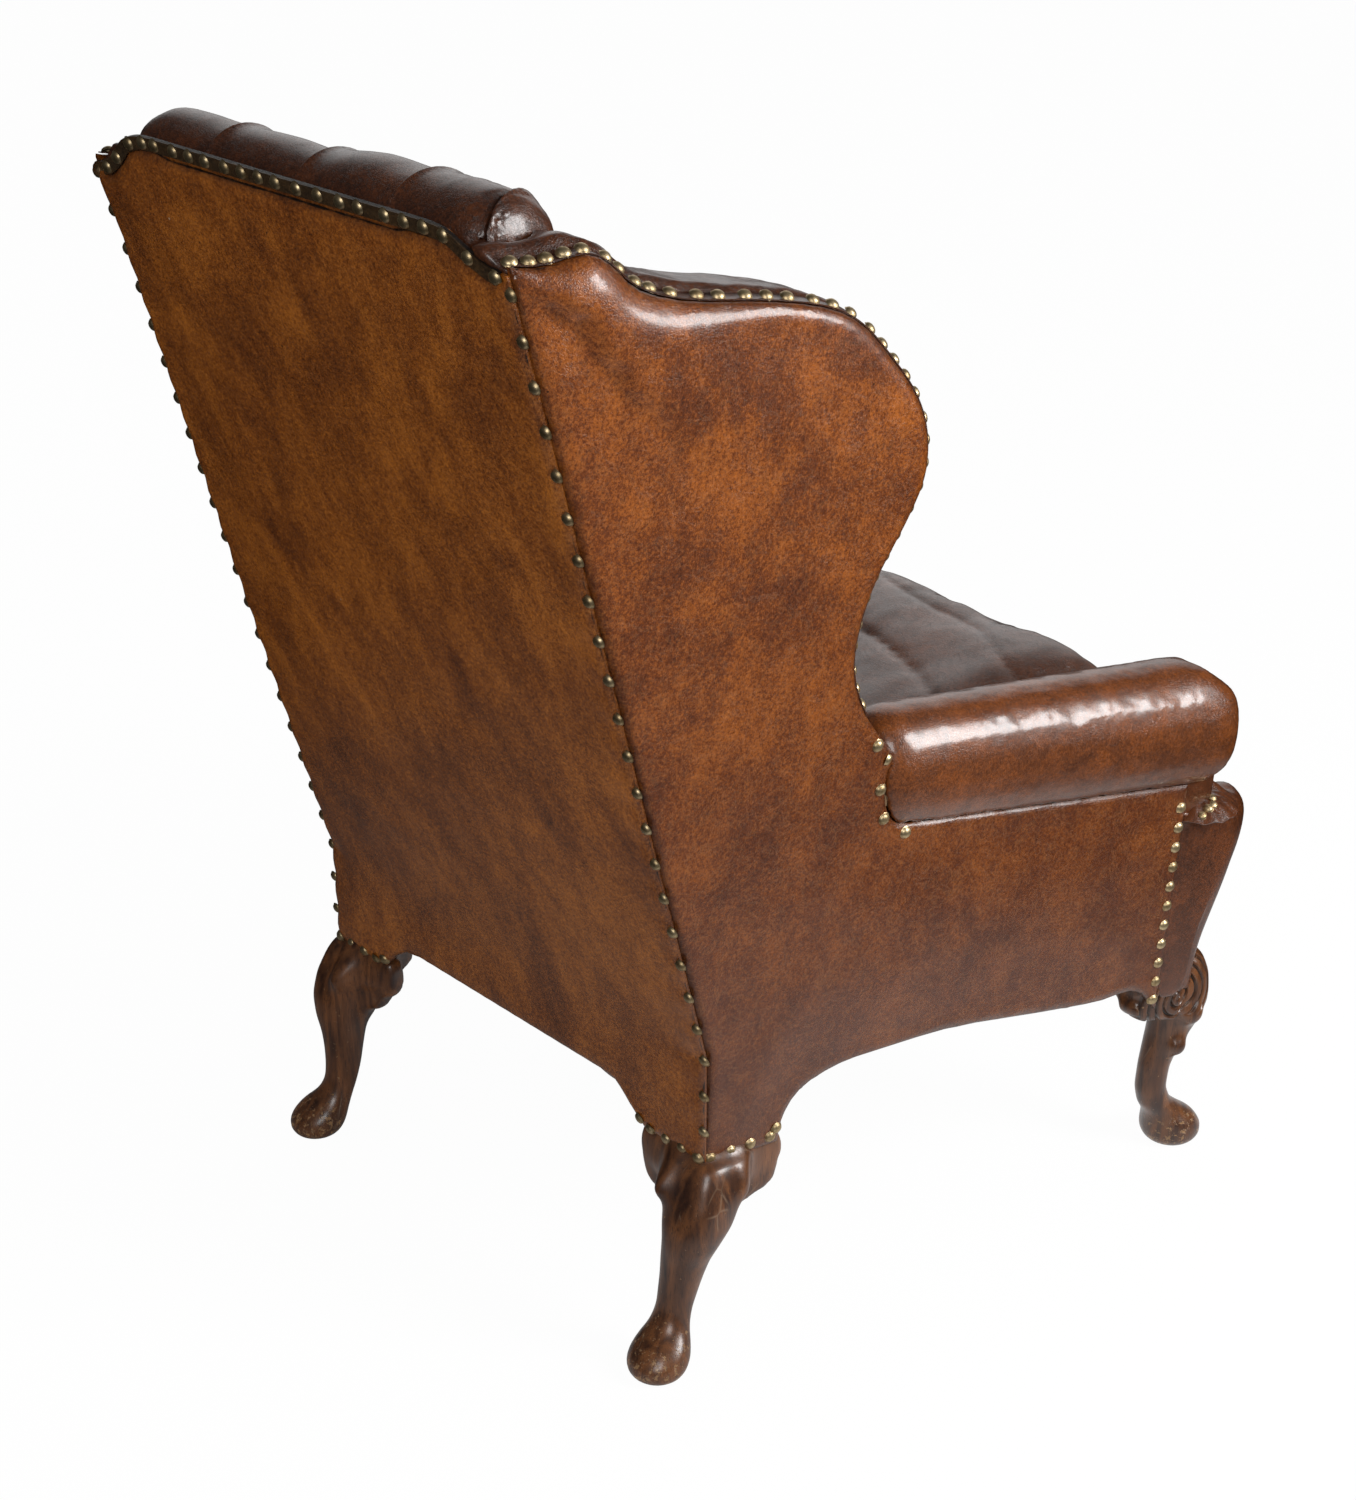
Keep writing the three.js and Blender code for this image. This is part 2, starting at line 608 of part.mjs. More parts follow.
addPiece('back_top_rail', backTopRail(), 'beech');
const grownBackTopRail = backTopRail(clearance);
addPiece('back_stuffing_rail', backRail(stuffingRailLow, stuffingRailHigh), 'beech');

// Seat rails
const rearRailLow = 265;
const frontRailLow = 262;
const railInsideHem = 3; // rails stop short of the lower edge of the leather
const rearRailGap = 4; // end of the rear rail to the line of the posts
const rearRailHalf = betweenPosts - postWidth - rearRailGap;

function rearSeatRail() {
  const outline = rectangle(-rearRailHalf, rearRailHalf, -timberStart - seatRailThickness, -timberStart);
  const bar = upright(outline, rearRailLow, seatRailTop);
  return cut(bar, ...grownRearBlocks);
}

function frontRailBody(grow = 0) {
  const half = -sidePlaneX(-frontFrameFace, frontRailLow) - timberEnd;
  const [front, rear] = [-frontFrameFace - grow, -frontFrameFace + seatRailThickness + grow];
  const outline = rectangle(-half, half, front, rear);
  return upright(outline, frontRailLow - grow, seatRailTop + grow);
}

function sideSeatRail() {
  const rear = -timberStart - rearBlock - clearance;
  const front = -frontFrameFace + frontBlock + clearance;
  const lower = sideHem.filter(([y]) => y < rear * 2 && y > front).map(([y, z]) => [y, z + railInsideHem]);
  const frontLow = lower[lower.length - 1][1];
  const outline = [[rear, rearRailLow], ...lower, [front, frontLow],
    [front, seatRailTop], [rear, seatRailTop]];
  return plate(sideSpace, outline, timberStart, timberStart + seatRailThickness);
}

addPiece('rear_seat_rail', rearSeatRail(), 'beech');
addPair('side_seat_rail', sideSeatRail(), 'beech');

// Arms: post on the front leg, sloping rail, and a rail for the padding above the seat
const armRailUp = 25;
const armRailDown = 22;
const wingFootRise = 21; // middle of the arm roll up to the foot of the wing timber
const wingFootHeight = rollRearHeight + wingFootRise;

function armRailLine(offset) {
  return [[postFrontY(rollRearHeight), rollRearHeight + offset], [-armStart, rollRearHeight + offset],
    [-frontFrameFace, rollSection(-frontFrameFace, 0).height + offset]];
}

function armRailBody(grow = 0) {
  const outline = [...armRailLine(-armRailDown - grow), ...armRailLine(armRailUp + grow).reverse()];
  return cut(plate(sideSpace, outline, timberStart - grow, timberEnd + grow), grownPosts[0]);
}

function armPostBody(grow = 0) {
  const [front, rear] = [-frontFrameFace - grow, -frontFrameFace + frontBlock + grow];
  const top = (y) => rollSection(y, 0).height - armRailDown - clearance + grow;
  const low = frontBlockTop - grow;
  const outline = [[front, low], [rear, low], [rear, top(rear)], [front, top(front)]];
  return plate(sideSpace, outline, timberStart - grow, timberEnd + grow);
}

function sideStuffingRail() {
  const front = -frontFrameFace + frontBlock + clearance;
  const outline = [[front, stuffingRailLow], [postFrontY(stuffingRailLow), stuffingRailLow],
    [postFrontY(stuffingRailHigh), stuffingRailHigh], [front, stuffingRailHigh]];
  return plate(sideSpace, outline, timberStart, timberEnd);
}

const grownArmPosts = [armPostBody(clearance), mirrored(armPostBody(clearance))];

addPiece('front_seat_rail', cut(frontRailBody(), ...grownFrontBlocks, ...grownArmPosts), 'beech');
addPair('arm_rail', armRailBody(), 'beech');
addPair('arm_post', armPostBody(), 'beech');
addPair('side_stuffing_rail', sideStuffingRail(), 'beech');

// Wings: a curved rail from the back post to the shoulder and a curved post down to the arm
const wingRim = 14; // padding that turns over the edge of the wing timber
const wingTimberWidth = 46;
const wingCorner = wingLine.find(([y, z]) => y < postFrontY(z) - clearance);
const wingInside = [wingCorner, ...wingLine.filter(([y]) => y < wingCorner[0] - 2 * wingRim)];
const wingClosing = [
  [-armStart + cutOverrun / 2, wingFootHeight], [postFrontY(wingFootHeight) - clearance, wingFootHeight]];
const wingOutline = [...wingInside, ...wingClosing];

const wingShoulderY = wingBackY - wingDepth * 0.86;
const wingShoulderZ = wingTopHeight - wingDrop * 0.24;
const insideWing = (above) => ([y, z]) => z > wingFootHeight + above && y < postFrontY(z) - clearance;
const wingBandOuter = drawnInLine(wingOutline, wingRim + clearance, wingInside.length)
  .filter(insideWing(wingRim * 2));
const wingBandInner = drawnInLine(wingOutline, wingRim + wingTimberWidth, wingInside.length)
  .filter(insideWing(wingTimberWidth * 1.5));

// Points of a line on one side of the slanting joint between wing rail and wing post.
function ofJoint(line, above, gap) {
  return line.filter(([y, z]) => {
    const past = (z - wingShoulderZ) + (y - wingShoulderY) * 0.9 - gap;
    return above ? past > 0 : past < 0;
  });
}

const wingRailHeel = 80; // from the top of the wing down to the lower edge of its rail at the post
const wingHeelZ = wingTopHeight - wingRailHeel;
const wingRailOutline = [...ofJoint(wingBandOuter, true, 0), ...ofJoint(wingBandInner, true, 0).reverse(),
  [postFrontY(wingHeelZ) - clearance, wingHeelZ]];
const wingRail = cut(plate(sideSpace, wingRailOutline, timberStart, timberEnd), grownPosts[0]);

function wingPost() {
  const railTop = rollRearHeight + armRailUp + clearance;
  const outer = ofJoint(wingBandOuter, false, -clearance).filter(([, z]) => z > railTop);
  const inner = ofJoint(wingBandInner, false, -clearance).reverse();
  const foot = [[outer[outer.length - 1][0], railTop], [inner[0][0], railTop]];
  return plate(sideSpace, [...outer, ...foot, ...inner], timberStart, timberEnd);
}

addPair('wing_rail', wingRail, 'beech');
addPair('wing_post', wingPost(), 'beech');

// Corner blocks glued across the corners of the seat frame
const cornerBlockLeg = 95;
const cornerBlockLow = 300;
const cornerBlockHigh = 350;

function rearCornerBlock() {
  const rear = -timberStart - seatRailThickness - clearance;
  const inside = timberStart + seatRailThickness + clearance;
  const outline = [[rear, inside], [rear - cornerBlockLeg, inside], [rear, inside + cornerBlockLeg]];
  return cut(sidePrism(outline, cornerBlockLow, cornerBlockHigh), ...grownRearBlocks, ...grownPosts);
}

function frontCornerBlock() {
  const front = -frontFrameFace + seatRailThickness + clearance;
  const inside = timberStart + seatRailThickness + clearance;
  const outline = [[front, inside], [front + cornerBlockLeg, inside], [front, inside + cornerBlockLeg]];
  return cut(sidePrism(outline, cornerBlockLow, cornerBlockHigh), ...grownFrontBlocks, ...grownArmPosts);
}

addPair('corner_block_rear', rearCornerBlock(), 'beech');
addPair('corner_block_front', frontCornerBlock(), 'beech');

// Seat suspension: black cloth, webbing, springs, hessian and stuffing
const blackClothLow = 290;
const clothThickness = 1.2;
const webbingLow = 293;
const webbingThickness = 2.5;
const webbingCells = [5, 5]; // webs across and along
const webShare = 0.5; // width of a web as a share of its spacing
const seatRear = -timberStart - seatRailThickness - clearance;
const seatFront = -frontFrameFace + seatRailThickness + clearance;
const seatHalf = (y, z, depth) => -sidePlaneX(y, z) - depth;

function seatTray(low, high) {
  const inside = timberStart + seatRailThickness + clearance;
  const corner = (y, side) => [side * seatHalf(y, low, inside), y];
  const outline = [corner(seatFront, -1), corner(seatFront, 1), corner(seatRear, 1), corner(seatRear, -1)];
  return cut(upright(outline, low, high), ...grownRearBlocks, ...grownFrontBlocks);
}

// Crossing webs with open squares between them, as one closed body. The rule places a corner
// from its shares of the way across and along, and its side: 0 below, 1 above.
function wovenWebs([across, along], place) {
  const edgesOf = (count) => [0, ...Array.from({ length: count * 2 }, (unused, k) => {
    const offset = k % 2 === 0 ? (1 - webShare) / 2 : (1 + webShare) / 2;
    return (Math.floor(k / 2) + offset) / count;
  }), 1];
  const us = edgesOf(across);
  const vs = edgesOf(along);
  const solid = (i, j) => i >= 0 && j >= 0 && i < us.length - 1 && j < vs.length - 1
    && (i % 2 === 1 || j % 2 === 1);
  const at = (i, j, side) => (i * vs.length + j) * 2 + side;
  const index = [];
  const face = (a, b, c, d) => index.push(a, b, c, a, c, d);
  us.forEach((unusedU, i) => vs.forEach((unusedV, j) => {
    if (!solid(i, j)) return;
    const [low, high] = [0, 1].map((side) => (
      [at(i, j, side), at(i + 1, j, side), at(i + 1, j + 1, side), at(i, j + 1, side)]));
    face(...high);
    face(low[0], low[3], low[2], low[1]);
    if (!solid(i - 1, j)) face(low[0], high[0], high[3], low[3]);
    if (!solid(i + 1, j)) face(low[1], low[2], high[2], high[1]);
    if (!solid(i, j - 1)) face(low[0], low[1], high[1], high[0]);
    if (!solid(i, j + 1)) face(low[3], high[3], high[2], low[2]);
  }));
  const corners = us.flatMap((u) => vs.flatMap((v) => [0, 1].map((side) => place(u, v, side))));
  const used = [...new Set(index)];
  const order = new Map(used.map((old, k) => [old, k]));
  const geometry = new THREE.BufferGeometry();
  geometry.setAttribute('position',
    new THREE.Float32BufferAttribute(used.flatMap((old) => corners[old].toArray()), 3));
  geometry.setIndex(index.map((old) => order.get(old)));
  return closedBody(geometry);
}

const cloth = seatTray(blackClothLow, blackClothLow + clothThickness);
addPiece('bottom_cloth', cloth, 'blackCloth');

function seatWebCorner(u, v, side) {
  const y = lerp(seatFront, seatRear, v);
  const half = seatHalf(y, webbingLow, timberStart + seatRailThickness + clearance);
  return new THREE.Vector3(lerp(-half, half, u), y, webbingLow + side * webbingThickness);
}

addPiece('seat_webbing', wovenWebs(webbingCells, seatWebCorner), 'jute');

// Hour-glass springs in rows of three
const springRows = [0.2, 0.5, 0.8];
const springColumns = [-0.56, 0, 0.56];
const springWire = 3.6;
const springRadius = 36;
const springWaistShare = 0.66;
const springTurns = 4;
const springStepsPerTurn = 7;
const springSides = 4;
const springLow = webbingLow + webbingThickness + clearance;
const springHigh = seatRailTop;

function coilSpring(x, y) {
  const steps = springTurns * springStepsPerTurn;
  const low = springLow + springWire / 2;
  const rise = springHigh - springLow - springWire;
  const path = Array.from({ length: steps + 1 }, (unused, k) => {
    const t = k / steps;
    const angle = 2 * Math.PI * springTurns * t;
    const narrow = 4 * (t - 0.5) * (t - 0.5);
    const radius = springRadius * lerp(springWaistShare, 1, narrow);
    return new THREE.Vector3(
      x + radius * Math.cos(angle), y + radius * Math.sin(angle), low + rise * t);
  });
  const rings = path.map((point, k) => {
    const along = path[Math.min(k + 1, steps)].clone().sub(path[Math.max(k - 1, 0)]).normalize();
    const outward = new THREE.Vector3(point.x - x, point.y - y, 0).normalize();
    const across = along.clone().cross(outward).normalize();
    return Array.from({ length: springSides }, (unused, j) => {
      const angle = 2 * Math.PI * (j + 0.5) / springSides;
      return point.clone()
        .addScaledVector(outward, Math.cos(angle) * springWire * Math.SQRT1_2)
        .addScaledVector(across, Math.sin(angle) * springWire * Math.SQRT1_2);
    });
  });
  return loft(rings);
}

springRows.forEach((row, i) => {
  springColumns.forEach((column, j) => {
    const y = lerp(seatFront, seatRear, row);
    const x = column * seatHalf(y, springLow, timberEnd);
    addPiece(`seat_spring_${1 + i * springColumns.length + j}`, coilSpring(x, y), 'springSteel');
  });
});

// Cloth and stuffing over the springs, tacked to the tops of the seat rails
function seatLayer(low, high) {
  const onRail = timberStart + seatRailThickness / 2;
  const behindPost = postFrontY(low) - clearance;
  const beforePost = -frontFrameFace + frontBlock + clearance;
  const half = [
    [seatHalf(-frontFrameFace, low, hessianStart), -frontFrameFace],
    [seatHalf(beforePost, low, hessianStart), beforePost],
    [seatHalf(beforePost, low, onRail), beforePost],
    [seatHalf(behindPost, low, onRail), behindPost],
    [rearRailHalf - clearance, behindPost],
    [rearRailHalf - clearance, -timberStart - seatRailThickness / 2],
  ];
  return upright([...half, ...half.map(([x, y]) => [-x, y]).reverse()], low, high);
}

const seatHessianLow = seatRailTop + clearance;
addPiece('seat_hessian', seatLayer(seatHessianLow, seatHessianLow + hessianThickness), 'hessian');
addPiece('seat_stuffing', seatLayer(seatHessianLow + hessianThickness + clearance,
  platformHeight - clearance), 'stuffing');

// Back suspension between the posts
const backClothLow = platformHeight;
const backClothRise = 5; // top of a post up to the top of the cloth
const backClothHigh = postTop + backClothRise;
const backWebbingCells = [4, 6];
const backWebbingStart = timberEnd + clearance;
const backHessianStart = backWebbingStart + webbingThickness + clearance;
const backPadStart = backHessianStart + hessianThickness + clearance;
const backClothEdge = 10; // posts to the edge of the webbing
const backClothHalf = betweenPosts - postWidth - backClothEdge;

function backWebCorner(u, v, side) {
  const flat = new THREE.Vector3(lerp(-backClothHalf, backClothHalf, u),
    lerp(backClothLow, backClothHigh, v), backWebbingStart + side * webbingThickness);
  return flat.applyMatrix4(backSpace);
}

const backFrame = rectangle(-backClothHalf, backClothHalf, backClothLow, backClothHigh);
addPiece('back_webbing', wovenWebs(backWebbingCells, backWebCorner), 'jute');
addPiece('back_hessian', plate(backSpace, backFrame, backHessianStart,
  backHessianStart + hessianThickness), 'hessian');

// Hessian on the inside of the wing and arm timber
const hessianInset = 20;
const wingHessianOutline = [...drawnInLine(wingOutline, hessianInset, wingInside.length),
  ...drawnIn(wingOutline, hessianInset).slice(wingInside.length)];
addPair('wing_hessian', plate(sideSpace, wingHessianOutline, hessianStart,
  hessianStart + hessianThickness), 'hessian');

const padFront = -frontFrameFace;
const armPadRearY = (z) => backPlaneY(z) - backPadStart - clearance;

function armOutline(low, highOffset, rearInset) {
  const high = wingFootHeight - 2 * clearance;
  return [[padFront, low], [armPadRearY(low) - rearInset, low], [armPadRearY(high) - rearInset, high],
    [-armStart + cutOverrun / 2, high], [-armStart, rollRearHeight + highOffset],
    [padFront, rollSection(padFront, 0).height + highOffset]];
}

const armHessian = plate(sideSpace, armOutline(stuffingRailLow, 0, hessianInset), hessianStart,
  hessianStart + hessianThickness);
addPair('arm_hessian', armHessian, 'hessian');

// Stuffed and covered pads

// A pad on a side: its inner face is rounded off all round.
function sidePad(outline, start, end, round) {
  const layers = [[start, 0], [end - round, 0], [end - round * 0.35, 0.28], [end, 1]];
  const rings = layers.map(([depth, share]) => drawnIn(outline, share * round).map(([y, z]) => (
    new THREE.Vector3(y, z, depth).applyMatrix4(sideSpace))));
  return loft(rings);
}

const padRound = 14;

// Wing padding turns over the edge of the timber and meets the outside leather. A flap of it
// runs back over the top of the back post to the corner of the chair.
const flapDepth = 40;

function wingPad() {
  const turned = drawnInLine(wingOutline, wingRim, wingInside.length);
  const low = wingFootHeight - cutOverrun;
  const pocket = [...turned, [turned[turned.length - 1][0], low],
    [postFrontY(low) + cutOverrun, low], [turned[0][0] + cutOverrun * 2, turned[0][1]]];
  const flapLow = postTop + clearance;
  const flapTop = wingLine.filter(([y]) => y > wingCorner[0] - wingRim && y < wingBackY - timberStart);
  const flap = plate(sideSpace, [
    [wingCorner[0] - wingRim, flapLow], [backPlaneY(flapLow) - timberStart, flapLow],
    [backPlaneY(wingTopHeight) - timberStart, wingTopHeight], ...flapTop,
  ], timberStart, flapDepth);
  const pad = cut(sidePad(wingOutline, timberStart, padDepth, padRound),
    plate(sideSpace, pocket, -cutOverrun, padStart), armRollGrown, armRailBody(clearance));
  return cut(join(pad, flap), grownBackTopRail);
}

addPair('wing_pad', wingPad(), 'innerLeather');

const armPad = cut(sidePad(armOutline(platformHeight, 0, 0), padStart, padDepth, padRound), armRollGrown);
addPair('arm_pad', armPad, 'innerLeather');

// The roll sits over the arm rail like a saddle.
function saddleRoll() {
  const front = -frontFrameFace - clearance;
  const groove = [[front, platformHeight], [-armStart + cutOverrun * 2, platformHeight],
    [-armStart + cutOverrun * 2, rollRearHeight + armRailUp + clearance],
    [-armStart, rollRearHeight + armRailUp + clearance],
    [front, rollSection(front, 0).height + armRailUp + clearance]];
  return cut(armRoll, plate(sideSpace, groove, leatherThickness, padStart));
}

addPair('arm_roll', saddleRoll(), 'outerLeather');

// Inside back: a buttoned pad between the wings and a roll over the top of the frame
const buttonSpacing = 132; // across, between buttons in one row
const buttonRise = 110; // from one row of buttons to the next
const topButtonDrop = 98; // top of the back down to the top row of buttons
const topButtonHeight = backTopHeight - topButtonDrop;
const backPadThickness = 62;
const backPadFullness = 20; // height of the stuffing between the buttons
const lumbarFullness = 14;
const lumbarHeight = 600;
const backPadGap = 0.8;
const backRollHalf = [44, 48];
const backRollDepth = 43; // centre of the roll forward of the outer face of the back
const backRollDrop = 37; // top of the back down to the middle of the roll over it
const backRollHeight = backTopHeight - backRollDrop;
const backRollEnd = 270; // half length of the roll
const backRollEndRound = 52;
const pleatDepth = 3;
const acrossShare = 1.6; // half width of the buttoned field, in button spacings
const backPadCells = 18;
const backRollSides = 14;

function buttonField(x, z) {
  if (z > topButtonHeight) {
    return Math.sqrt(Math.abs(Math.sin(Math.PI * x / buttonSpacing)));
  }
  const [a, b] = [1, -1].map((sign) => x / buttonSpacing + sign * (z - topButtonHeight) / buttonRise / 2);
  return Math.sqrt(Math.abs(Math.sin(Math.PI * a) * Math.sin(Math.PI * b)));
}

function backPadBody() {
  const top = backRollHeight;
  return stuffedBlock(backPadCells, 1, backPadCells, (u, v, w) => {
    const z = lerp(platformHeight + clearance, top, (w + 1) / 2);
    const side = Math.abs(u) > 0.999 ? 1 : 0;
    const edge = 1 - u ** 8;
    const lumbar = lumbarFullness * Math.exp(-(((z - lumbarHeight) / (buttonRise * 1.6)) ** 2));
    const stuffing = backPadFullness * buttonField(u * buttonSpacing * acrossShare, z);
    const front = backPadThickness + edge * stuffing + lumbar;
    const depth = v < 0 ? backPadStart + front * (side ? 0.8 : 1) : backPadStart;
    const y = backPlaneY(z) - depth;
    return [u * (seatHalf(y, z, padDepth) - backPadGap), y, z];
  });
}

function backTopRoll() {
  const stations = 26;
  const rings = Array.from({ length: stations + 1 }, (unused, k) => {
    const x = lerp(-backRollEnd, backRollEnd, k / stations);
    const toEnd = Math.min((backRollEnd - Math.abs(x)) / backRollEndRound, 1);
    const round = lerp(0.45, 1, Math.sqrt(1 - (1 - toEnd) ** 2));
    const pleat = pleatDepth * (1 - Math.sqrt(Math.abs(Math.sin(Math.PI * x / buttonSpacing))));
    const half = backRollHalf.map((size) => (size - pleat) * round);
    const centreY = backPlaneY(backRollHeight) - backRollDepth;
    return roundedRing(new THREE.Vector3(), half, 2, backRollSides).map((point) => (
      new THREE.Vector3(x, centreY + point.x, backRollHeight + point.y)));
  });
  return loft(rings);
}

function insideBackPad() {
  const wingZone = plate(sideSpace, drawnIn([...wingLine, ...wingClosing,
    [backPlaneY(postTop), postTop]], -clearance), -2 * cutOverrun, padDepth + clearance);
  const acrossBack = backHalfWidth + cutOverrun;
  const coverZone = plate(backSpace, rectangle(-acrossBack, acrossBack, topRailLow - backRollHeight,
    backTopHeight + clearance), -3 * cutOverrun, leatherThickness + clearance);
  const frameZone = plate(backSpace, rectangle(-acrossBack, acrossBack, bendHeight,
    topRailHigh + clearance), -3 * cutOverrun, backPadStart);
  return cut(join(backPadBody(), backTopRoll()), wingZone, mirrored(wingZone), coverZone, frameZone,
    ...grownPosts);
}

addPiece('inside_back_pad', insideBackPad(), 'innerLeather');

// Padded front: leather over the front rail, wrapped round the arm posts
const cornerRadius = 47;
const cornerInset = 45; // centre of the corner, inside the outer face of the side
const cornerForward = 625;
const wrapRear = sidePanelLength + clearance;
const wrapTurn = frontFrameFace - frontBlock / 4; // where the wrap's inner face starts along the side
const frontRaise = 36; // the corners stand this far above the platform, under the arm rolls
const frontTuck = 45; // how far the padding draws in towards its lower edge
const tuckLow = 265;
const tuckHigh = 410;
const frontTopRound = 24;
const frontCoveStart = 262; // half the width between the front knees
const frontCove = 48;
const frontApronHeight = 256;
const bowFront = 4;
const borderCells = { front: 8, corner: 5, side: 3, high: 9 };

function borderPath(s, z) {
  const { front, corner, side } = borderCells;
  const step = s * (front + corner + side);
  const cornerX = sidePlaneX(-cornerForward, z) + cornerInset;
  const innerCornerX = sidePlaneX(-frontFrameFace, z) + leatherThickness;
  const straightX = cornerX + cornerRadius; // the raised corner starts here
  if (step <= front) {
    const share = step < front - 0.5 ? step / (front - 1) : 1;
    const x = step < front - 0.5 ? straightX * share : cornerX;
    const outerY = -frontReach + bowFront * share * share;
    return [[x, outerY], [x, -frontFrameFace - clearance]];
  }
  if (step <= front + corner) {
    const angle = Math.PI / 2 * (step - front) / corner;
    const startY = -frontReach + bowFront;
    const outerX = cornerX - cornerRadius * Math.sin(angle);
    const outerY = -cornerForward + (startY + cornerForward) * Math.cos(angle);
    const share = (step - front) / corner;
    const innerX = lerp(cornerX, innerCornerX, Math.min(share * 2, 1));
    const innerY = share < 0.5 ? -frontFrameFace - clearance
      : lerp(-frontFrameFace - clearance, -wrapTurn, share * 2 - 1);
    return [[outerX, outerY], [innerX + (innerY + frontFrameFace + clearance) * sideFlareShare, innerY]];
  }
  const share = (step - front - corner) / side;
  const outerY = lerp(-cornerForward, -wrapRear, share);
  const proud = (cornerRadius - cornerInset) * (1 - share);
  const innerY = lerp(-wrapTurn, -wrapRear, share);
  return [[sidePlaneX(outerY, z) - proud, outerY], [sidePlaneX(innerY, z) + leatherThickness, innerY]];
}

function frontBorder() {
  const { front, corner, side, high } = borderCells;
  const cells = front + corner + side;
  const body = stuffedBlock(cells * 2, 1, high, (u, v, w) => {
    const s = Math.abs(u);
    const step = s * cells;
    const raised = clamp(step - (front - 1), 0, 1);
    const rise = (w + 1) / 2;
    const flatX = Math.abs(borderPath(s, platformHeight)[0][0]);
    const onKnee = step > front ? 1 : clamp((flatX - frontCoveStart) / frontCove, 0, 1);
    const hem = lerp(frontApronHeight, frontKneeHeight, 1 - Math.cos(onKnee * Math.PI / 2));
    const top = platformHeight - clearance + raised * frontRaise;
    const z = lerp(hem, top, Math.sin(rise * Math.PI / 2) ** 0.9);
    const [outer, inner] = borderPath(s, z);
    const span = Math.hypot(outer[0] - inner[0], outer[1] - inner[1]);
    const t = clamp((z - tuckLow) / (tuckHigh - tuckLow), 0, 1);
    const q = clamp((z - (top - frontTopRound)) / frontTopRound, 0, 1);
    const draw = frontTuck * (1 - Math.sin(t * Math.PI / 2)) + frontTopRound * (1 - Math.sqrt(1 - q * q));
    const share = Math.min(draw / span, 0.85) * (step > front + corner ? 0 : 1);
    const [x, y] = v < 0 ? [0, 1].map((k) => lerp(outer[k], inner[k], share)) : inner;
    return [u > 0 ? -x : x, y, z];
  });
  const grownKnee = frontKnee(clearance);
  return cut(body, armRollGrown, mirrored(armRollGrown), grownKnee, mirrored(grownKnee),
    ...grownFrontBlocks, ...grownArmPosts);
}

addPiece('front_border', frontBorder(), 'outerLeather');

// Loose seat cushion
const cushionRear = 107;
const cushionFront = 697;
const cushionFrontHalf = 322;
const cushionGap = 2;
const cushionSideFullness = 6;
const cushionCornerShare = 0.03;
const cushionCells = [18, 18, 4];

function seatCushion() {
  const low = platformHeight;
  const high = platformHeight + cushionHeight;
  return stuffedBlock(...cushionCells, (u, v, w) => {
    const along = v * (1 - cushionCornerShare * u ** 8);
    const y = lerp(-cushionFront, -cushionRear, (along + 1) / 2);
    const widest = Math.min(seatHalf(y, platformHeight, padDepth) - cushionGap, cushionFrontHalf);
    const full = widest - cushionSideFullness * w * w;
    const x = u * full * (1 - cushionCornerShare * v ** 8);
    const edge = Math.max(Math.abs(u), Math.abs(v)) ** 10;
    const dome = (1 - u ** 4) * (1 - v ** 4);
    const z = w > 0.99 ? high + cushionCrown * dome - edge * cushionSideFullness
      : lerp(low + (w < -0.99 ? edge * cushionSideFullness : 0), high, (w + 1) / 2);
    return [x, y, z];
  });
}

addPiece('seat_cushion', seatCushion(), 'innerLeather');

// The origin sits on the floor under the middle of the chair.
const chairRear = backPlaneY(backTopHeight);
chair.position.y = (cushionFront - chairRear) / 2;

export default chair;
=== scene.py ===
# %% [markdown]
# # A leather wing chair
# The chair is a timber frame that is webbed, sprung and stuffed, then covered in hand-dyed leather and trimmed
# with brass nails. The solids of the frame are already made, so this lesson dresses them: each soft solid is
# copied, given a finer skin, stuffed or creased, and the leather, wood and brass are made as node materials.
# The frame is loaded first, because every later step asks it where things are.

# %% Load the frame
import math
from contextlib import contextmanager
import bpy
import bmesh
import numpy as np
from mathutils import Matrix, Vector, noise
from mathutils.bvhtree import BVHTree
from mathutils.kdtree import KDTree


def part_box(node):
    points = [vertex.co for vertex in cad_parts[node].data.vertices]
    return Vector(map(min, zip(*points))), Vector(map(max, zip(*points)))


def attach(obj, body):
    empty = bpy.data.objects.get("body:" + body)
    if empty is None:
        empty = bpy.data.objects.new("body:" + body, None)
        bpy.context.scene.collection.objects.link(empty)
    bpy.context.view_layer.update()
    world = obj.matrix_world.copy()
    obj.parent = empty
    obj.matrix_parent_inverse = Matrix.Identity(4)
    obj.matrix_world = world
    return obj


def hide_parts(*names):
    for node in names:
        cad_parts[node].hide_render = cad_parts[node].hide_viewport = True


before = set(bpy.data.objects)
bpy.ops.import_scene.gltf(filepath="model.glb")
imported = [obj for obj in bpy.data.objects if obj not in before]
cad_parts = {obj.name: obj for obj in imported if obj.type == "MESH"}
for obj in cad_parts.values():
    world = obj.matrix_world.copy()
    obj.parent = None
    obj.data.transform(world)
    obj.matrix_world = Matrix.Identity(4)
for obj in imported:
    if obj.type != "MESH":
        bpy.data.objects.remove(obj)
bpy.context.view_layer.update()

scene = bpy.context.scene
scene.view_settings.view_transform = "Standard"

# %% [markdown]
# ## Camera
# The photograph looks down on the chair from behind and to its right. A camera can be placed by eye, or worked
# out from edges whose real directions are known. This one was worked out from the square rear corner and the
# lines of nails, so its place and direction are given here as plain numbers.

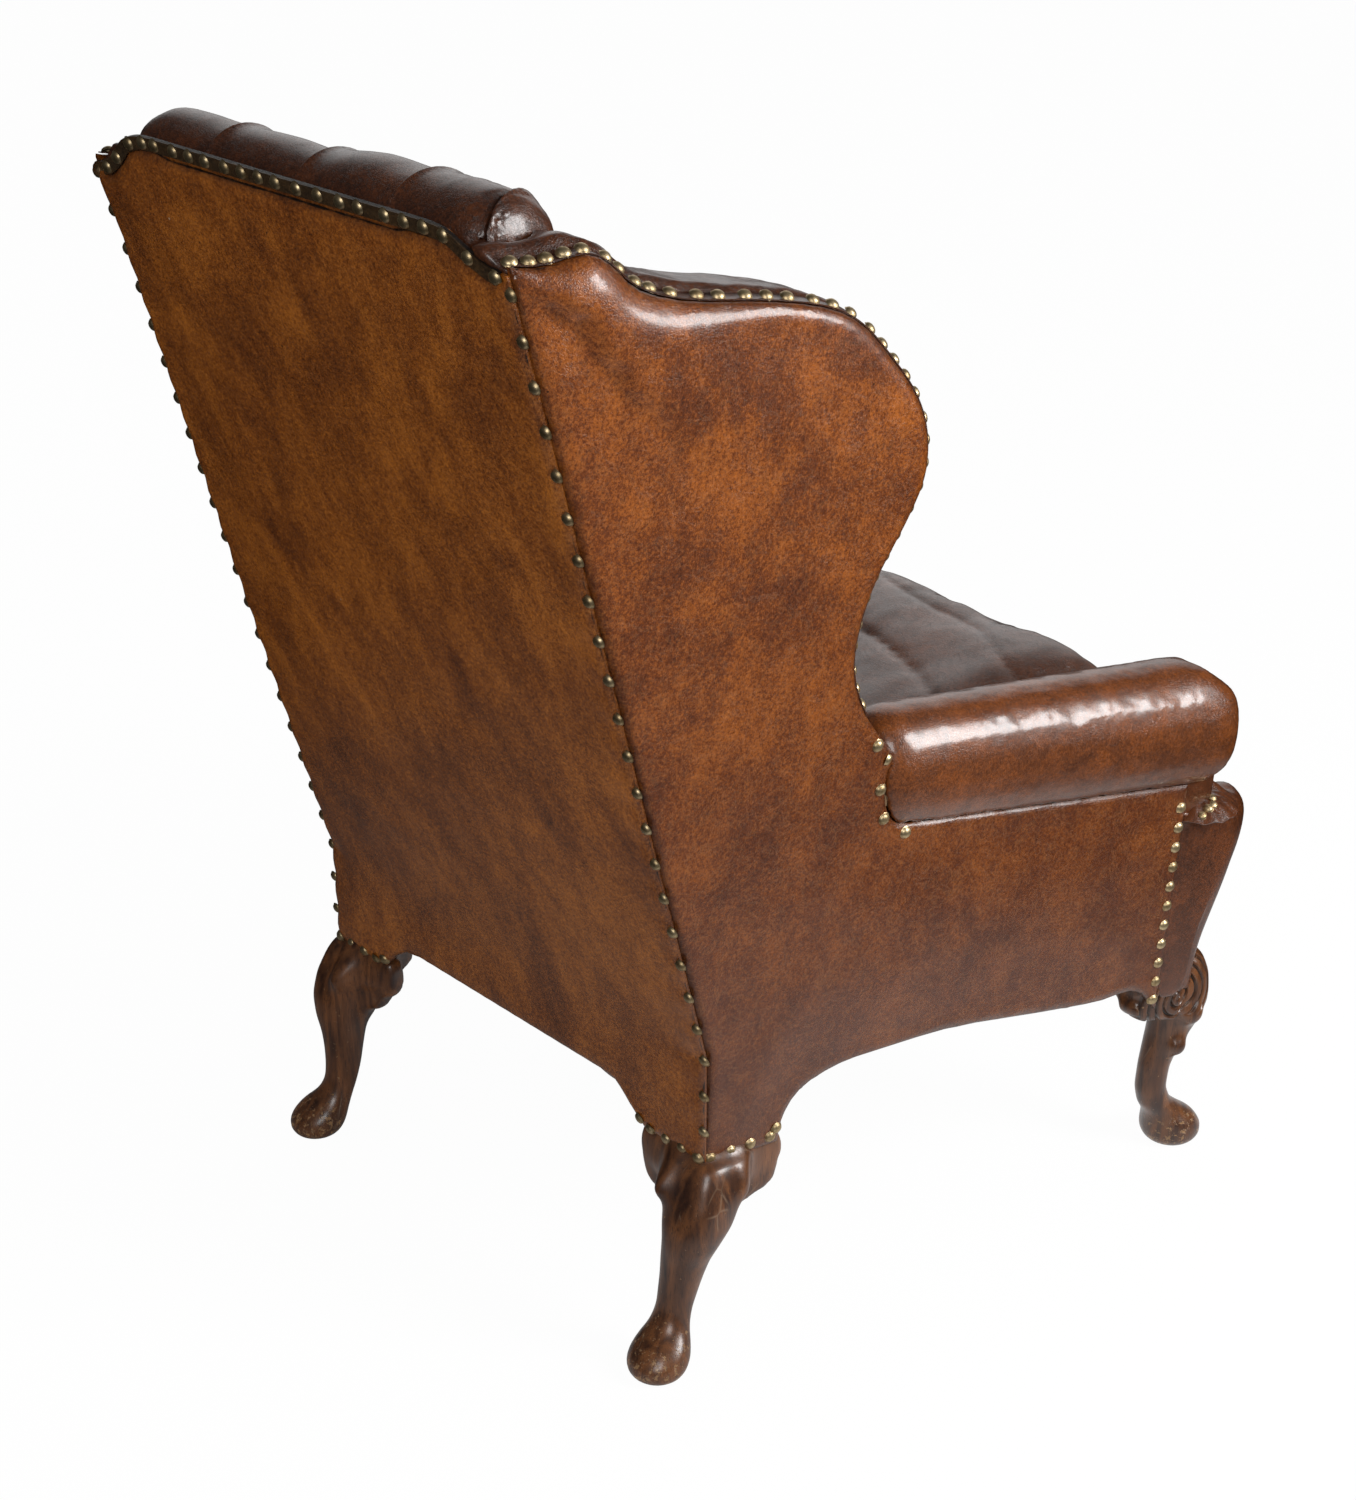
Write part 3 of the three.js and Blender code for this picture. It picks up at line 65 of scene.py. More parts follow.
# %% Camera
camera_place = Vector((-1.74152, 1.61648, 1.62594))
camera_yaw = math.radians(-42.762)
camera_pitch = math.radians(25.871)
looking = Vector((math.cos(camera_yaw) * math.cos(camera_pitch), math.sin(camera_yaw) * math.cos(camera_pitch),
                  -math.sin(camera_pitch)))
camera_data = bpy.data.cameras.new("camera")
camera_data.lens = 61.14
camera = bpy.data.objects.new("camera", camera_data)
camera.location = camera_place
camera.rotation_euler = looking.to_track_quat("-Z", "Y").to_euler()
scene.collection.objects.link(camera)
scene.camera = camera
print("camera looks along", [round(value, 3) for value in looking])

# %% [markdown]
# ## Node helpers
# Every finish below is a tree of nodes. Adding nodes and joining them one by one is long to read, so a few small
# helpers do it. Each one adds a single kind of node and gives back the output that the next node needs.

# %% Node helpers
def give_inputs(tree, node, inputs):
    """Sockets are linked to the node's inputs, and anything else is set as a plain value."""
    for key, value in inputs.items():
        if isinstance(value, bpy.types.NodeSocket):
            tree.links.new(value, node.inputs[key])
        else:
            node.inputs[key].default_value = value
    return node


def add_node(tree, kind, inputs=None, **settings):
    node = tree.nodes.new(kind if kind.startswith("Node") else "ShaderNode" + kind)
    for name, value in settings.items():
        setattr(node, name, value)
    return give_inputs(tree, node, inputs or {})


def place_in(tree):
    return add_node(tree, "TexCoord").outputs["Object"]


def height_in(tree):
    return add_node(tree, "SeparateXYZ", {0: place_in(tree)}).outputs[2]


def maths(tree, operation, first, second=None):
    return add_node(tree, "Math", {0: first} if second is None else {0: first, 1: second},
                    operation=operation).outputs[0]


def ranged(tree, value, low=0.0, high=1.0, to_low=0.0, to_high=1.0, kind="LINEAR"):
    """Maps a value from one range to another, and holds it inside the second."""
    return add_node(tree, "MapRange", {"Value": value, "From Min": low, "From Max": high, "To Min": to_low,
                                       "To Max": to_high}, interpolation_type=kind).outputs[0]


def noise_at(tree, place, scale, detail=2.0, roughness=0.5, distortion=0.0):
    return add_node(tree, "TexNoise", {"Vector": place, "Scale": scale, "Detail": detail, "Roughness": roughness,
                                       "Distortion": distortion}).outputs[0]


def cell_edges(tree, place, scale):
    return add_node(tree, "TexVoronoi", {"Vector": place, "Scale": scale},
                    feature="DISTANCE_TO_EDGE").outputs["Distance"]


def vector_of(tree, operation, vector, other):
    return add_node(tree, "VectorMath", {0: vector, 1: other}, operation=operation).outputs


def scaled(tree, vector, factor):
    return add_node(tree, "VectorMath", {0: vector, "Scale": factor}, operation="SCALE").outputs[0]


def sum_of(tree, *terms):
    """Adds up pairs of a socket and its share."""
    total = None
    for socket, share in terms:
        part = maths(tree, "MULTIPLY", socket, share)
        total = part if total is None else maths(tree, "ADD", total, part)
    return total


def mixed(tree, factor, first, second):
    """Mixes two colours, each a socket or three numbers."""
    first, second = ((*value, 1) if isinstance(value, tuple) else value for value in (first, second))
    return add_node(tree, "Mix", {0: factor, 6: first, 7: second}, data_type="RGBA").outputs[2]


print("node helpers ready")

# %% Groups and materials
def new_group(name, inputs, outputs):
    """An empty node group with named inputs and outputs."""
    group = bpy.data.node_groups.new(name, "ShaderNodeTree")
    for label, kind, value in inputs:
        socket = group.interface.new_socket(label, in_out="INPUT", socket_type="NodeSocket" + kind)
        socket.default_value = value
    for label, kind in outputs:
        group.interface.new_socket(label, in_out="OUTPUT", socket_type="NodeSocket" + kind)
    return group, add_node(group, "NodeGroupInput").outputs, add_node(group, "NodeGroupOutput").inputs


def use_group(tree, group, **inputs):
    node = tree.nodes.new("ShaderNodeGroup")
    node.node_tree = group
    return give_inputs(tree, node, inputs).outputs


def new_material(name):
    material = bpy.data.materials.new(name)
    material.use_nodes = True
    tree = material.node_tree
    tree.nodes.clear()
    shader = add_node(tree, "BsdfPrincipled")
    add_node(tree, "OutputMaterial", {"Surface": shader.outputs[0]})
    return material, tree, shader.inputs


def add_bump(tree, shader, height, strength, distance):
    bump = add_node(tree, "Bump", {"Strength": strength, "Distance": distance, "Height": height})
    tree.links.new(bump.outputs[0], shader["Normal"])


print("group and material helpers ready")

# %% [markdown]
# ## Studio
# The chair stands on a pale floor in soft light. A large lamp above and beyond the chair draws the white
# highlights along the wing and the arm, as the studio lamp does in the photograph. In the leather's reflections
# the floor glows as a painted reflection, brightly near the chair and less further off, and the world is darker
# behind the camera.

# %% World
pure_white = (1, 1, 1, 1)
world = bpy.data.worlds.new("studio")
world.use_nodes = True
scene.world = world
tree = world.node_tree
tree.nodes.clear()
direction = add_node(tree, "TexCoord").outputs["Generated"]
ahead = vector_of(tree, "DOT_PRODUCT", direction, (0.70, -0.65, 0.30))["Value"]
glow = ranged(tree, ahead, 0.84, 1.0, 0.02, 0.95, "SMOOTHSTEP")
rays = add_node(tree, "LightPath").outputs
soft, shine, white = (add_node(tree, "Background", {"Color": pure_white, "Strength": strength}).outputs[0]
                      for strength in (0.56, glow, 1.0))
lighting = add_node(tree, "MixShader", {0: rays["Is Glossy Ray"], 1: soft, 2: shine})
seen = add_node(tree, "MixShader", {0: rays["Is Camera Ray"], 1: lighting.outputs[0], 2: white})
add_node(tree, "OutputWorld", {"Surface": seen.outputs[0]})
print("world ready")

# %% Floor
floor_data = bpy.data.meshes.new("floor")
ground = bmesh.new()
bmesh.ops.create_grid(ground, x_segments=8, y_segments=8, size=16)
ground.to_mesh(floor_data)
ground.free()
floor = bpy.data.objects.new("floor", floor_data)
scene.collection.objects.link(floor)
material, tree, shader = new_material("pale floor")
shader["Base Color"].default_value = (0.82, 0.82, 0.82, 1)
shader["Roughness"].default_value = 0.9
shader["Specular IOR Level"].default_value = 0.0
place = place_in(tree)
from_chair = add_node(tree, "VectorMath", {0: place}, operation="LENGTH").outputs["Value"]
reflection_glow = ranged(tree, from_chair, 0.45, 1.25, 0.85, 0.0, "SMOOTHSTEP")
toward = vector_of(tree, "DOT_PRODUCT", place, (-0.8, -0.6, 0.0))["Value"]
reflection_glow = maths(tree, "MULTIPLY", reflection_glow, ranged(tree, toward, -0.3, 0.5, 0.15, 1.0))
rays = add_node(tree, "LightPath").outputs
# Painted reflection: the floor glows only in glossy rays, brightest near the chair and on one side.
mirror_glow = add_node(tree, "Emission", {"Color": pure_white, "Strength": reflection_glow})
bright = add_node(tree, "Emission", {"Color": pure_white, "Strength": 1.0})
plain_share = maths(tree, "MULTIPLY", rays["Is Camera Ray"], 0.97)
lit = add_node(tree, "MixShader", {0: plain_share, 1: tree.nodes["Principled BSDF"].outputs[0], 2: bright.outputs[0]})
both = add_node(tree, "MixShader", {0: rays["Is Glossy Ray"], 1: lit.outputs[0], 2: mirror_glow.outputs[0]})
tree.links.new(both.outputs[0], tree.nodes["Material Output"].inputs["Surface"])
floor_data.materials.append(material)
print("floor ready")

# %% Lamps
def soft_lamp(name, place, aim, wide, tall, power):
    lamp_data = bpy.data.lights.new(name, "AREA")
    lamp_data.shape = "RECTANGLE"
    lamp_data.size = wide
    lamp_data.size_y = tall
    lamp_data.energy = power
    lamp = bpy.data.objects.new(name, lamp_data)
    lamp.location = place
    lamp.rotation_euler = (Vector(aim) - Vector(place)).to_track_quat("-Z", "Y").to_euler()
    lamp.visible_camera = False
    scene.collection.objects.link(lamp)


soft_lamp("softbox above and beyond", (-2.3, -1.08, 1.85), (-0.3, 0.1, 0.8), 0.95, 1.3, 82)
soft_lamp("dim softbox beside it", (-2.1, -1.95, 1.65), (-0.35, -0.2, 0.7), 0.6, 0.5, 1.2)
soft_lamp("fill behind the camera", (-2.6, 2.9, 2.6), (0, 0, 0.5), 1.5, 1.5, 62)
print("lamps ready")

# %% [markdown]
# ## Leather
# Hand-dyed leather is several effects on one hide: cloudy dye, tiny pale fibres, pits and specks, a pebbled
# grain that breaks up the highlights, a few stains, and painted shade with a dark painted line along the seams.
# The leathers are also painted darker lower down, as shade. Each effect is a node group, so the tan outside
# leather and the dark inside leather can share them with their own values.

# %% Dye group
dye, taken, given = new_group(
    "hide dye",
    [("Light", "Color", (0.26, 0.085, 0.015, 1)), ("Middle", "Color", (0.13, 0.034, 0.004, 1)),
     ("Dark", "Color", (0.06, 0.014, 0.001, 1)), ("Patch", "Float", 16.0), ("Streak", "Float", 1.0),
     ("Tilt", "Float", 0.0)],
    [("Colour", "Color"), ("Cloud", "Float")])
place = place_in(dye)
turned = add_node(dye, "VectorRotate", {"Vector": place, "Angle": taken["Tilt"]}, rotation_type="Y_AXIS").outputs[0]
split = add_node(dye, "SeparateXYZ", {0: turned}).outputs
long_way = maths(dye, "MULTIPLY", split[2], taken["Streak"])
drawn = add_node(dye, "CombineXYZ", {0: split[0], 1: split[1], 2: long_way}).outputs[0]
patch = noise_at(dye, drawn, taken["Patch"], 3.0, 0.55, 0.5)
small = noise_at(dye, drawn, maths(dye, "MULTIPLY", taken["Patch"], 3.4), 5.0, 0.65, 0.3)
fibre = noise_at(dye, place, 330.0, 4.0, 0.85)
spread = ranged(dye, sum_of(dye, (patch, 0.55), (small, 0.45)), 0.34, 0.66)
speckled = sum_of(dye, (spread, 0.44), (fibre, 1.7))
deep = mixed(dye, ranged(dye, speckled, 0.68, 1.04), taken["Dark"], taken["Middle"])
dye.links.new(mixed(dye, ranged(dye, speckled, 1.02, 1.46), deep, taken["Light"]), given["Colour"])
dye.links.new(spread, given["Cloud"])
print("dye group ready")

# %% Grain group
grain, taken, given = new_group("hide grain", [("Size", "Float", 1.0)], [("Height", "Float"), ("Creases", "Float")])
sized = scaled(grain, place_in(grain), taken["Size"])
pebbled = ranged(grain, cell_edges(grain, sized, 420.0), 0.0, 0.25)
fine = noise_at(grain, sized, 900.0)
loose = noise_at(grain, sized, 120.0, 4.0, 0.6, 1.2)
ridged = noise_at(grain, sized, 34.0, 6.0, 0.62, 2.0)
folded = maths(grain, "ABSOLUTE", maths(grain, "SUBTRACT", ridged, 0.5))
grain.links.new(sum_of(grain, (pebbled, 0.35), (fine, 0.35), (loose, 0.6)), given["Height"])
grain.links.new(ranged(grain, folded, 0.0, 0.03), given["Creases"])
print("grain group ready")

# %% Speck and seam groups
specks, taken, given = new_group("hide specks", [("Amount", "Float", 1.0)], [("Dark", "Float"), ("Pale", "Float")])
place = place_in(specks)
for label, scale, size, share in (("Dark", 34.0, 0.036, 0.72), ("Pale", 21.0, 0.024, 0.8)):
    cell = add_node(specks, "TexVoronoi", {"Vector": place, "Scale": scale}, feature="F1").outputs
    chosen = add_node(specks, "SeparateColor", {0: cell["Color"]}).outputs[0]
    inside_spot = maths(specks, "LESS_THAN", cell["Distance"], size)
    spot = maths(specks, "MULTIPLY", inside_spot, maths(specks, "GREATER_THAN", chosen, share))
    specks.links.new(maths(specks, "MULTIPLY", spot, taken["Amount"]), given[label])

# The seam mark carries real stains, wood waxed black, and painted shade along seams, creases and joins: Shade darkens
# beside them, and Line is a near-black painted shadow line in them.
dirt_and_shade, taken, given = new_group("seam dirt", [("Reach", "Float", 1.0)], [("Line", "Float"), ("Shade", "Float")])
seam = add_node(dirt_and_shade, "Attribute", attribute_name="seam").outputs["Fac"]
shaken = sum_of(dirt_and_shade, (seam, 1.0), (noise_at(dirt_and_shade, place_in(dirt_and_shade), 60.0, 4.0), 0.35))
dirt_and_shade.links.new(ranged(dirt_and_shade, shaken, 1.0, 1.12), given["Line"])
dirt_and_shade.links.new(ranged(dirt_and_shade, shaken, 0.3, 1.15, 0.0, taken["Reach"]), given["Shade"])
print("speck and seam groups ready")

# %% Leather recipe
def leather(name, light, middle, dark, patch=16.0, streak=1.0, tilt=0.0, rough=0.36, coat=0.5, crease=0.15,
            hair=None, low_shade=(0.0, 0.01, 0.0)):
    """A leather with three dyes. It is painted darker towards the bottom, as shade: the last argument gives two heights
    and how much darker it is at the lower one.
    """
    material, tree, shader = new_material(name)
    dyed = use_group(tree, dye, Light=(*light, 1), Middle=(*middle, 1), Dark=(*dark, 1), Patch=patch, Streak=streak,
                     Tilt=tilt)
    skin = use_group(tree, grain, Size=1.0)
    spots = use_group(tree, specks, Amount=0.85)
    edge = use_group(tree, dirt_and_shade, Reach=0.62)
    low, high, share = low_shade
    # Painted shade: the leather is darker lower down.
    colour = mixed(tree, ranged(tree, height_in(tree), low, high, share, 0.0, "SMOOTHSTEP"), dyed["Colour"], dark)
    colour = mixed(tree, spots["Dark"], colour, (0.02, 0.006, 0.003))
    colour = mixed(tree, spots["Pale"], colour, (0.36, 0.25, 0.16))
    # Painted shade beside the seams and in creases, then a near-black painted shadow line in them.
    colour = mixed(tree, edge["Shade"], colour, tuple(0.42 * value for value in dark))
    colour = mixed(tree, edge["Line"], colour, (0.006, 0.003, 0.002))
    worn = maths(tree, "MULTIPLY", maths(tree, "SUBTRACT", 1.0, skin["Creases"]), crease)
    colour = mixed(tree, worn, colour, hair or dark)
    tree.links.new(colour, shader["Base Color"])
    relief = sum_of(tree, (skin["Height"], 1.0), (skin["Creases"], crease * 1.5))
    add_bump(tree, shader, relief, 0.55, 0.0007)
    tree.links.new(ranged(tree, dyed["Cloud"], 0.0, 1.0, rough + 0.05, rough - 0.05), shader["Roughness"])
    shader["Coat Weight"].default_value = coat
    shader["Coat Roughness"].default_value = 0.19
    shader["IOR"].default_value = 1.45
    return material


print("leather recipe ready")

# %% Leathers
back_tan = leather("tan back leather", (0.33, 0.104, 0.010), (0.145, 0.037, 0.0022), (0.05, 0.0112, 0.0009),
                   patch=13.0, streak=0.5, tilt=math.radians(-16), crease=0.1, hair=(0.3, 0.12, 0.03),
                   low_shade=(0.3, 0.7, 0.2))
side_tan = leather("tan side leather", (0.29, 0.080, 0.008), (0.112, 0.025, 0.0019), (0.040, 0.0080, 0.0007),
                   patch=14.0, streak=0.8, tilt=math.radians(20), crease=0.12, hair=(0.36, 0.15, 0.04),
                   low_shade=(0.25, 0.95, 0.62))
roll_tan = leather("tan arm leather", (0.20, 0.053, 0.008), (0.092, 0.0235, 0.0034), (0.036, 0.0085, 0.0012),
                   patch=17.0, coat=0.75, crease=0.1, low_shade=(0.44, 0.62, 0.5))
border_brown = leather("brown border leather", (0.12, 0.032, 0.007), (0.054, 0.014, 0.003), (0.022, 0.0055, 0.0013),
                       patch=17.0, rough=0.35, coat=0.7, crease=0.1)
dark_brown = leather("dark inside leather", (0.095, 0.026, 0.006), (0.04, 0.0105, 0.003), (0.012, 0.0038, 0.0016),
                     patch=14.0, rough=0.4, crease=0.35)
band_olive = leather("olive band leather", (0.06, 0.03, 0.009), (0.028, 0.014, 0.004), (0.012, 0.006, 0.002),
                     patch=20.0, rough=0.46, coat=0.15, crease=0.1)
cushion_brown = leather("cushion leather", (0.11, 0.034, 0.012), (0.052, 0.016, 0.006), (0.02, 0.007, 0.0035),
                        patch=12.0, rough=0.34, coat=0.7, crease=0.5)
print("leathers ready")

# %% [markdown]
# ## Wood, brass and cloth
# The legs are dark walnut with a streaky figure, knocks on the feet, and hollows that are waxed black and
# painted with shade. The nails are antique brass that has darkened in patches. The cloths inside the chair are
# woven, and one group draws the threads for all of them.

# %% Wood groups
figure, _, given = new_group("wood figure", [], [("Figure", "Float"), ("Pores", "Float")])
place = place_in(figure)
upright = vector_of(figure, "MULTIPLY", place, (1.0, 1.0, 0.16))[0]
swirl = noise_at(figure, upright, 26.0, 4.0, distortion=2.4)
rings = add_node(figure, "TexWave", {"Vector": upright, "Scale": 17.0, "Distortion": 12.0, "Detail": 4.0,
                                     "Detail Scale": 2.2}, wave_type="BANDS").outputs["Fac"]
pore_place = vector_of(figure, "MULTIPLY", place, (1.0, 1.0, 0.06))[0]
figure.links.new(sum_of(figure, (swirl, 0.82), (rings, 0.18)), given["Figure"])
figure.links.new(noise_at(figure, pore_place, 900.0), given["Pores"])

knocks, taken, given = new_group("knocks and scratches", [("Low", "Float", 0.0), ("High", "Float", 0.06)],
                                 [("Knocks", "Float"), ("Scratches", "Float")])
place = place_in(knocks)
foot = ranged(knocks, height_in(knocks), taken["Low"], taken["High"], 0.16, 0.0)
chips = noise_at(knocks, place, 150.0, 4.0, 0.7)
knocks.links.new(ranged(knocks, maths(knocks, "ADD", chips, foot), 0.66, 0.72), given["Knocks"])
slanted = vector_of(knocks, "MULTIPLY", place, (1.0, 0.35, 0.2))[0]
thin = ranged(knocks, cell_edges(knocks, slanted, 60.0), 0.02, 0.0)
some = ranged(knocks, noise_at(knocks, place, 22.0), 0.58, 0.66)
knocks.links.new(maths(knocks, "MULTIPLY", thin, some), given["Scratches"])
print("wood groups ready")

# %% Woods
def wood(name, light, dark, rough, coat, wear):
    material, tree, shader = new_material(name)
    grown = use_group(tree, figure)
    knocked = use_group(tree, knocks, Low=0.0, High=0.07)
    edge = use_group(tree, dirt_and_shade, Reach=0.9)
    colour = mixed(tree, ranged(tree, grown["Figure"], 0.3, 0.7), dark, light)
    pored = ranged(tree, grown["Pores"], 0.56, 0.68, 0.0, 0.6)
    colour = mixed(tree, pored, colour, tuple(0.3 * value for value in dark))
    # Darker where the wood meets the leather and in the carved groove: partly waxed black, partly painted shade.
    colour = mixed(tree, edge["Shade"], colour, (0.006, 0.004, 0.003))
    hit = maths(tree, "MULTIPLY", knocked["Knocks"], wear)
    colour = mixed(tree, hit, colour, (0.2, 0.105, 0.04))
    rubbed = maths(tree, "MULTIPLY", knocked["Scratches"], 0.6 * wear)
    colour = mixed(tree, rubbed, colour, (0.16, 0.1, 0.06))
    tree.links.new(colour, shader["Base Color"])
    add_bump(tree, shader, sum_of(tree, (hit, -1.0), (grown["Pores"], 0.3)), 0.5, 0.0008)
    tree.links.new(ranged(tree, grown["Pores"], 0.0, 1.0, rough - 0.06, rough + 0.1), shader["Roughness"])
    shader["Coat Weight"].default_value = coat
    shader["Coat Roughness"].default_value = 0.2
    return material


walnut = wood("waxed walnut", (0.125, 0.043, 0.011), (0.026, 0.008, 0.003), 0.34, 0.35, 1.0)
beech = wood("bare beech", (0.52, 0.34, 0.19), (0.36, 0.21, 0.11), 0.62, 0.0, 0.2)
print("woods ready")

# %% Brass and steel
def metal(name, bright, dull, rough, share):
    material, tree, shader = new_material(name)
    place = place_in(tree)
    both = sum_of(tree, (noise_at(tree, place, 260.0, 3.0), 0.5), (noise_at(tree, place, 38.0), 0.5))
    tree.links.new(mixed(tree, ranged(tree, both, 0.5 - share, 0.62), bright, dull), shader["Base Color"])
    tree.links.new(ranged(tree, both, 0.0, 1.0, rough - 0.1, rough + 0.18), shader["Roughness"])
    shader["Metallic"].default_value = 1.0
    return material


brass = metal("antique brass", (0.66, 0.52, 0.31), (0.34, 0.24, 0.12), 0.42, 0.1)
# The rims of the nail heads: darkened brass, and painted shadow where the heads meet the leather.
patina_and_shadow = metal("darkened brass and painted shadow", (0.05, 0.03, 0.014), (0.016, 0.01, 0.006), 0.6, 0.3)
steel = metal("spring steel", (0.30, 0.29, 0.28), (0.13, 0.11, 0.1), 0.4, 0.1)
print("metals ready")

# %% Woven cloth
weave, taken, given = new_group("plain weave", [("Threads", "Float", 500.0)], [("Height", "Float"), ("Tone", "Float")])
place = place_in(weave)
thread = add_node(weave, "SeparateXYZ", {0: scaled(weave, place, taken["Threads"])}).outputs
warp = maths(weave, "SINE", thread[0])
weft = maths(weave, "SINE", maths(weave, "ADD", thread[1], thread[2]))
crossed = maths(weave, "MULTIPLY", warp, weft)
weave.links.new(crossed, given["Height"])
weave.links.new(sum_of(weave, (crossed, 0.22), (noise_at(weave, place, 55.0, 5.0), 0.9)), given["Tone"])


def cloth(name, light, dark, threads):
    material, tree, shader = new_material(name)
    woven = use_group(tree, weave, Threads=threads)
    tree.links.new(mixed(tree, woven["Tone"], dark, light), shader["Base Color"])
    add_bump(tree, shader, woven["Height"], 0.7, 0.0006)
    shader["Roughness"].default_value = 0.9
    return material


hessian = cloth("jute hessian", (0.42, 0.29, 0.15), (0.2, 0.125, 0.06), 1900.0)
web = cloth("jute webbing", (0.46, 0.36, 0.23), (0.25, 0.18, 0.1), 2400.0)
black_cloth = cloth("black bottoming", (0.03, 0.03, 0.032), (0.01, 0.01, 0.011), 3200.0)
horsehair = cloth("curled hair stuffing", (0.16, 0.1, 0.06), (0.035, 0.022, 0.015), 700.0)
print("cloths ready")

# %% [markdown]
# ## Mesh helpers
# A soft piece starts as a copy of its solid. The copy's loose triangles are merged, a voxel remesh gives it an
# even skin, and its points are then moved. Doing that with arrays is quick, and it keeps the shape where the
# solid is, so neighbours still meet.

# %% Copies and skins
merge_reach = 2e-5


@contextmanager
def opened(mesh):
    """Opens a mesh for editing, and writes the edits back at the end of the with block."""
    body = bmesh.new()
    body.from_mesh(mesh)
    yield body
    body.to_mesh(mesh)
    body.free()


def link(name, mesh):
    piece = bpy.data.objects.new(name, mesh)
    scene.collection.objects.link(piece)
    return piece


def copy_of(node, name):
    """A copy of a solid whose loose triangles are merged."""
    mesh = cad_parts[node].data.copy()
    mesh.materials.clear()
    with opened(mesh) as body:
        bmesh.ops.remove_doubles(body, verts=body.verts, dist=merge_reach)
    return link(name, mesh)


def settle(piece):
    """Applies the piece's modifiers."""
    graph = bpy.context.evaluated_depsgraph_get()
    mesh = bpy.data.meshes.new_from_object(piece.evaluated_get(graph))
    piece.modifiers.clear()
    piece.data = mesh
    return piece


def reskin(piece, voxel):
    """Gives a piece an even skin of small squares."""
    skin = piece.modifiers.new("skin", "REMESH")
    skin.mode = "VOXEL"
    skin.voxel_size = voxel
    skin.adaptivity = 0
    return settle(piece)


def smoothed(body, verts, rounds):
    for _ in range(rounds):
        bmesh.ops.smooth_vert(body, verts=verts, factor=0.5, use_axis_x=True, use_axis_y=True, use_axis_z=True)


def relax(piece, rounds):
    with opened(piece.data) as body:
        smoothed(body, body.verts, rounds)
    return piece


def refine(piece):
    """Splits every face in four and rounds the piece."""
    finer = piece.modifiers.new("finer", "SUBSURF")
    finer.levels = 1
    finer.render_levels = 1
    return settle(piece)


print("copy helpers ready")

# %% Points and marks
def read_triples(items, label):
    values = np.empty(len(items) * 3)
    items.foreach_get(label, values)
    return values.reshape(-1, 3)


def points_of(piece):
    return read_triples(piece.data.vertices, "co")


def normals_of(piece):
    piece.data.update()
    return read_triples(piece.data.vertex_normals, "vector")


def put_points(piece, points):
    piece.data.vertices.foreach_set("co", np.asarray(points, float).ravel())
    piece.data.update()


def mark(piece, label, values):
    """Stores one number for each point, which a material reads by name."""
    layer = piece.data.attributes.get(label) or piece.data.attributes.new(label, "FLOAT", "POINT")
    layer.data.foreach_set("value", np.asarray(values, np.float32))


def rumple(points, scale, seed, detail=2):
    """Smooth noise, about -1 to 1, for each point."""
    shift = Vector((seed * 7.3, seed * 3.1, seed * 5.7))
    return np.array([noise.fractal(Vector(p) * scale + shift, 1.0, 2.0, detail) for p in points])


def ease(values, start, width):
    """Goes softly from 0 at start to 1 at start + width. A negative width goes the other way."""
    held = np.clip((values - start) / width, 0, 1)
    return held * held * (3 - 2 * held)


print("point helpers ready")

# %% Finishing a piece
def shade_smooth(piece, angle=None):
    piece.data.polygons.foreach_set("use_smooth", [True] * len(piece.data.polygons))
    if angle:
        with opened(piece.data) as body:
            for edge in body.edges:
                edge.smooth = len(edge.link_faces) != 2 or edge.calc_face_angle(0.0) < angle
    piece.data.update()


def dress(piece, material, body, nodes=(), angle=None):
    """Gives a finished piece its material and its body, and hides the solids that it stands for."""
    piece.data.materials.clear()
    for one in material if isinstance(material, (list, tuple)) else [material]:
        piece.data.materials.append(one)
    shade_smooth(piece, angle)
    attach(piece, body)
    if nodes:
        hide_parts(*nodes)
    print(f"{piece.name}: {len(piece.data.polygons)} faces")
    return piece


print("finishing helpers ready")

# %% Spun shapes and nearest points
def spun(outline, steps):
    """A round body, open for editing, made by spinning an outline of (distance, height) about the Z axis."""
    body = bmesh.new()
    verts = [body.verts.new((x, 0, z)) for x, z in outline]
    edges = [body.edges.new(pair) for pair in zip(verts, verts[1:])]
    bmesh.ops.spin(body, geom=[*verts, *edges], cent=(0, 0, 0), axis=(0, 0, 1), angle=2 * math.pi, steps=steps,
                   use_merge=True, use_duplicate=False)
    bmesh.ops.remove_doubles(body, verts=body.verts, dist=1e-5)
    return body


def mesh_from(body, name):
    mesh = bpy.data.meshes.new(name)
    body.to_mesh(mesh)
    body.free()
    return mesh


def finder(points):
    """A tree that finds the nearest of some points."""
    tree = KDTree(len(points))
    for i, point in enumerate(points):
        tree.insert(point, i)
    tree.balance()
    return tree


both_sides = (("right", -1), ("left", 1))
print("spinning and finding helpers ready")

# %% [markdown]
# ## Paths along edges
# Nails, cut edges and seams all follow the edge of a leather panel. The edge is read from the panel itself:
# the edges between its outer face and its thin side are chained into a loop, a stretch of the loop is picked
# by its two ends, and points are set out along it at an even pitch.

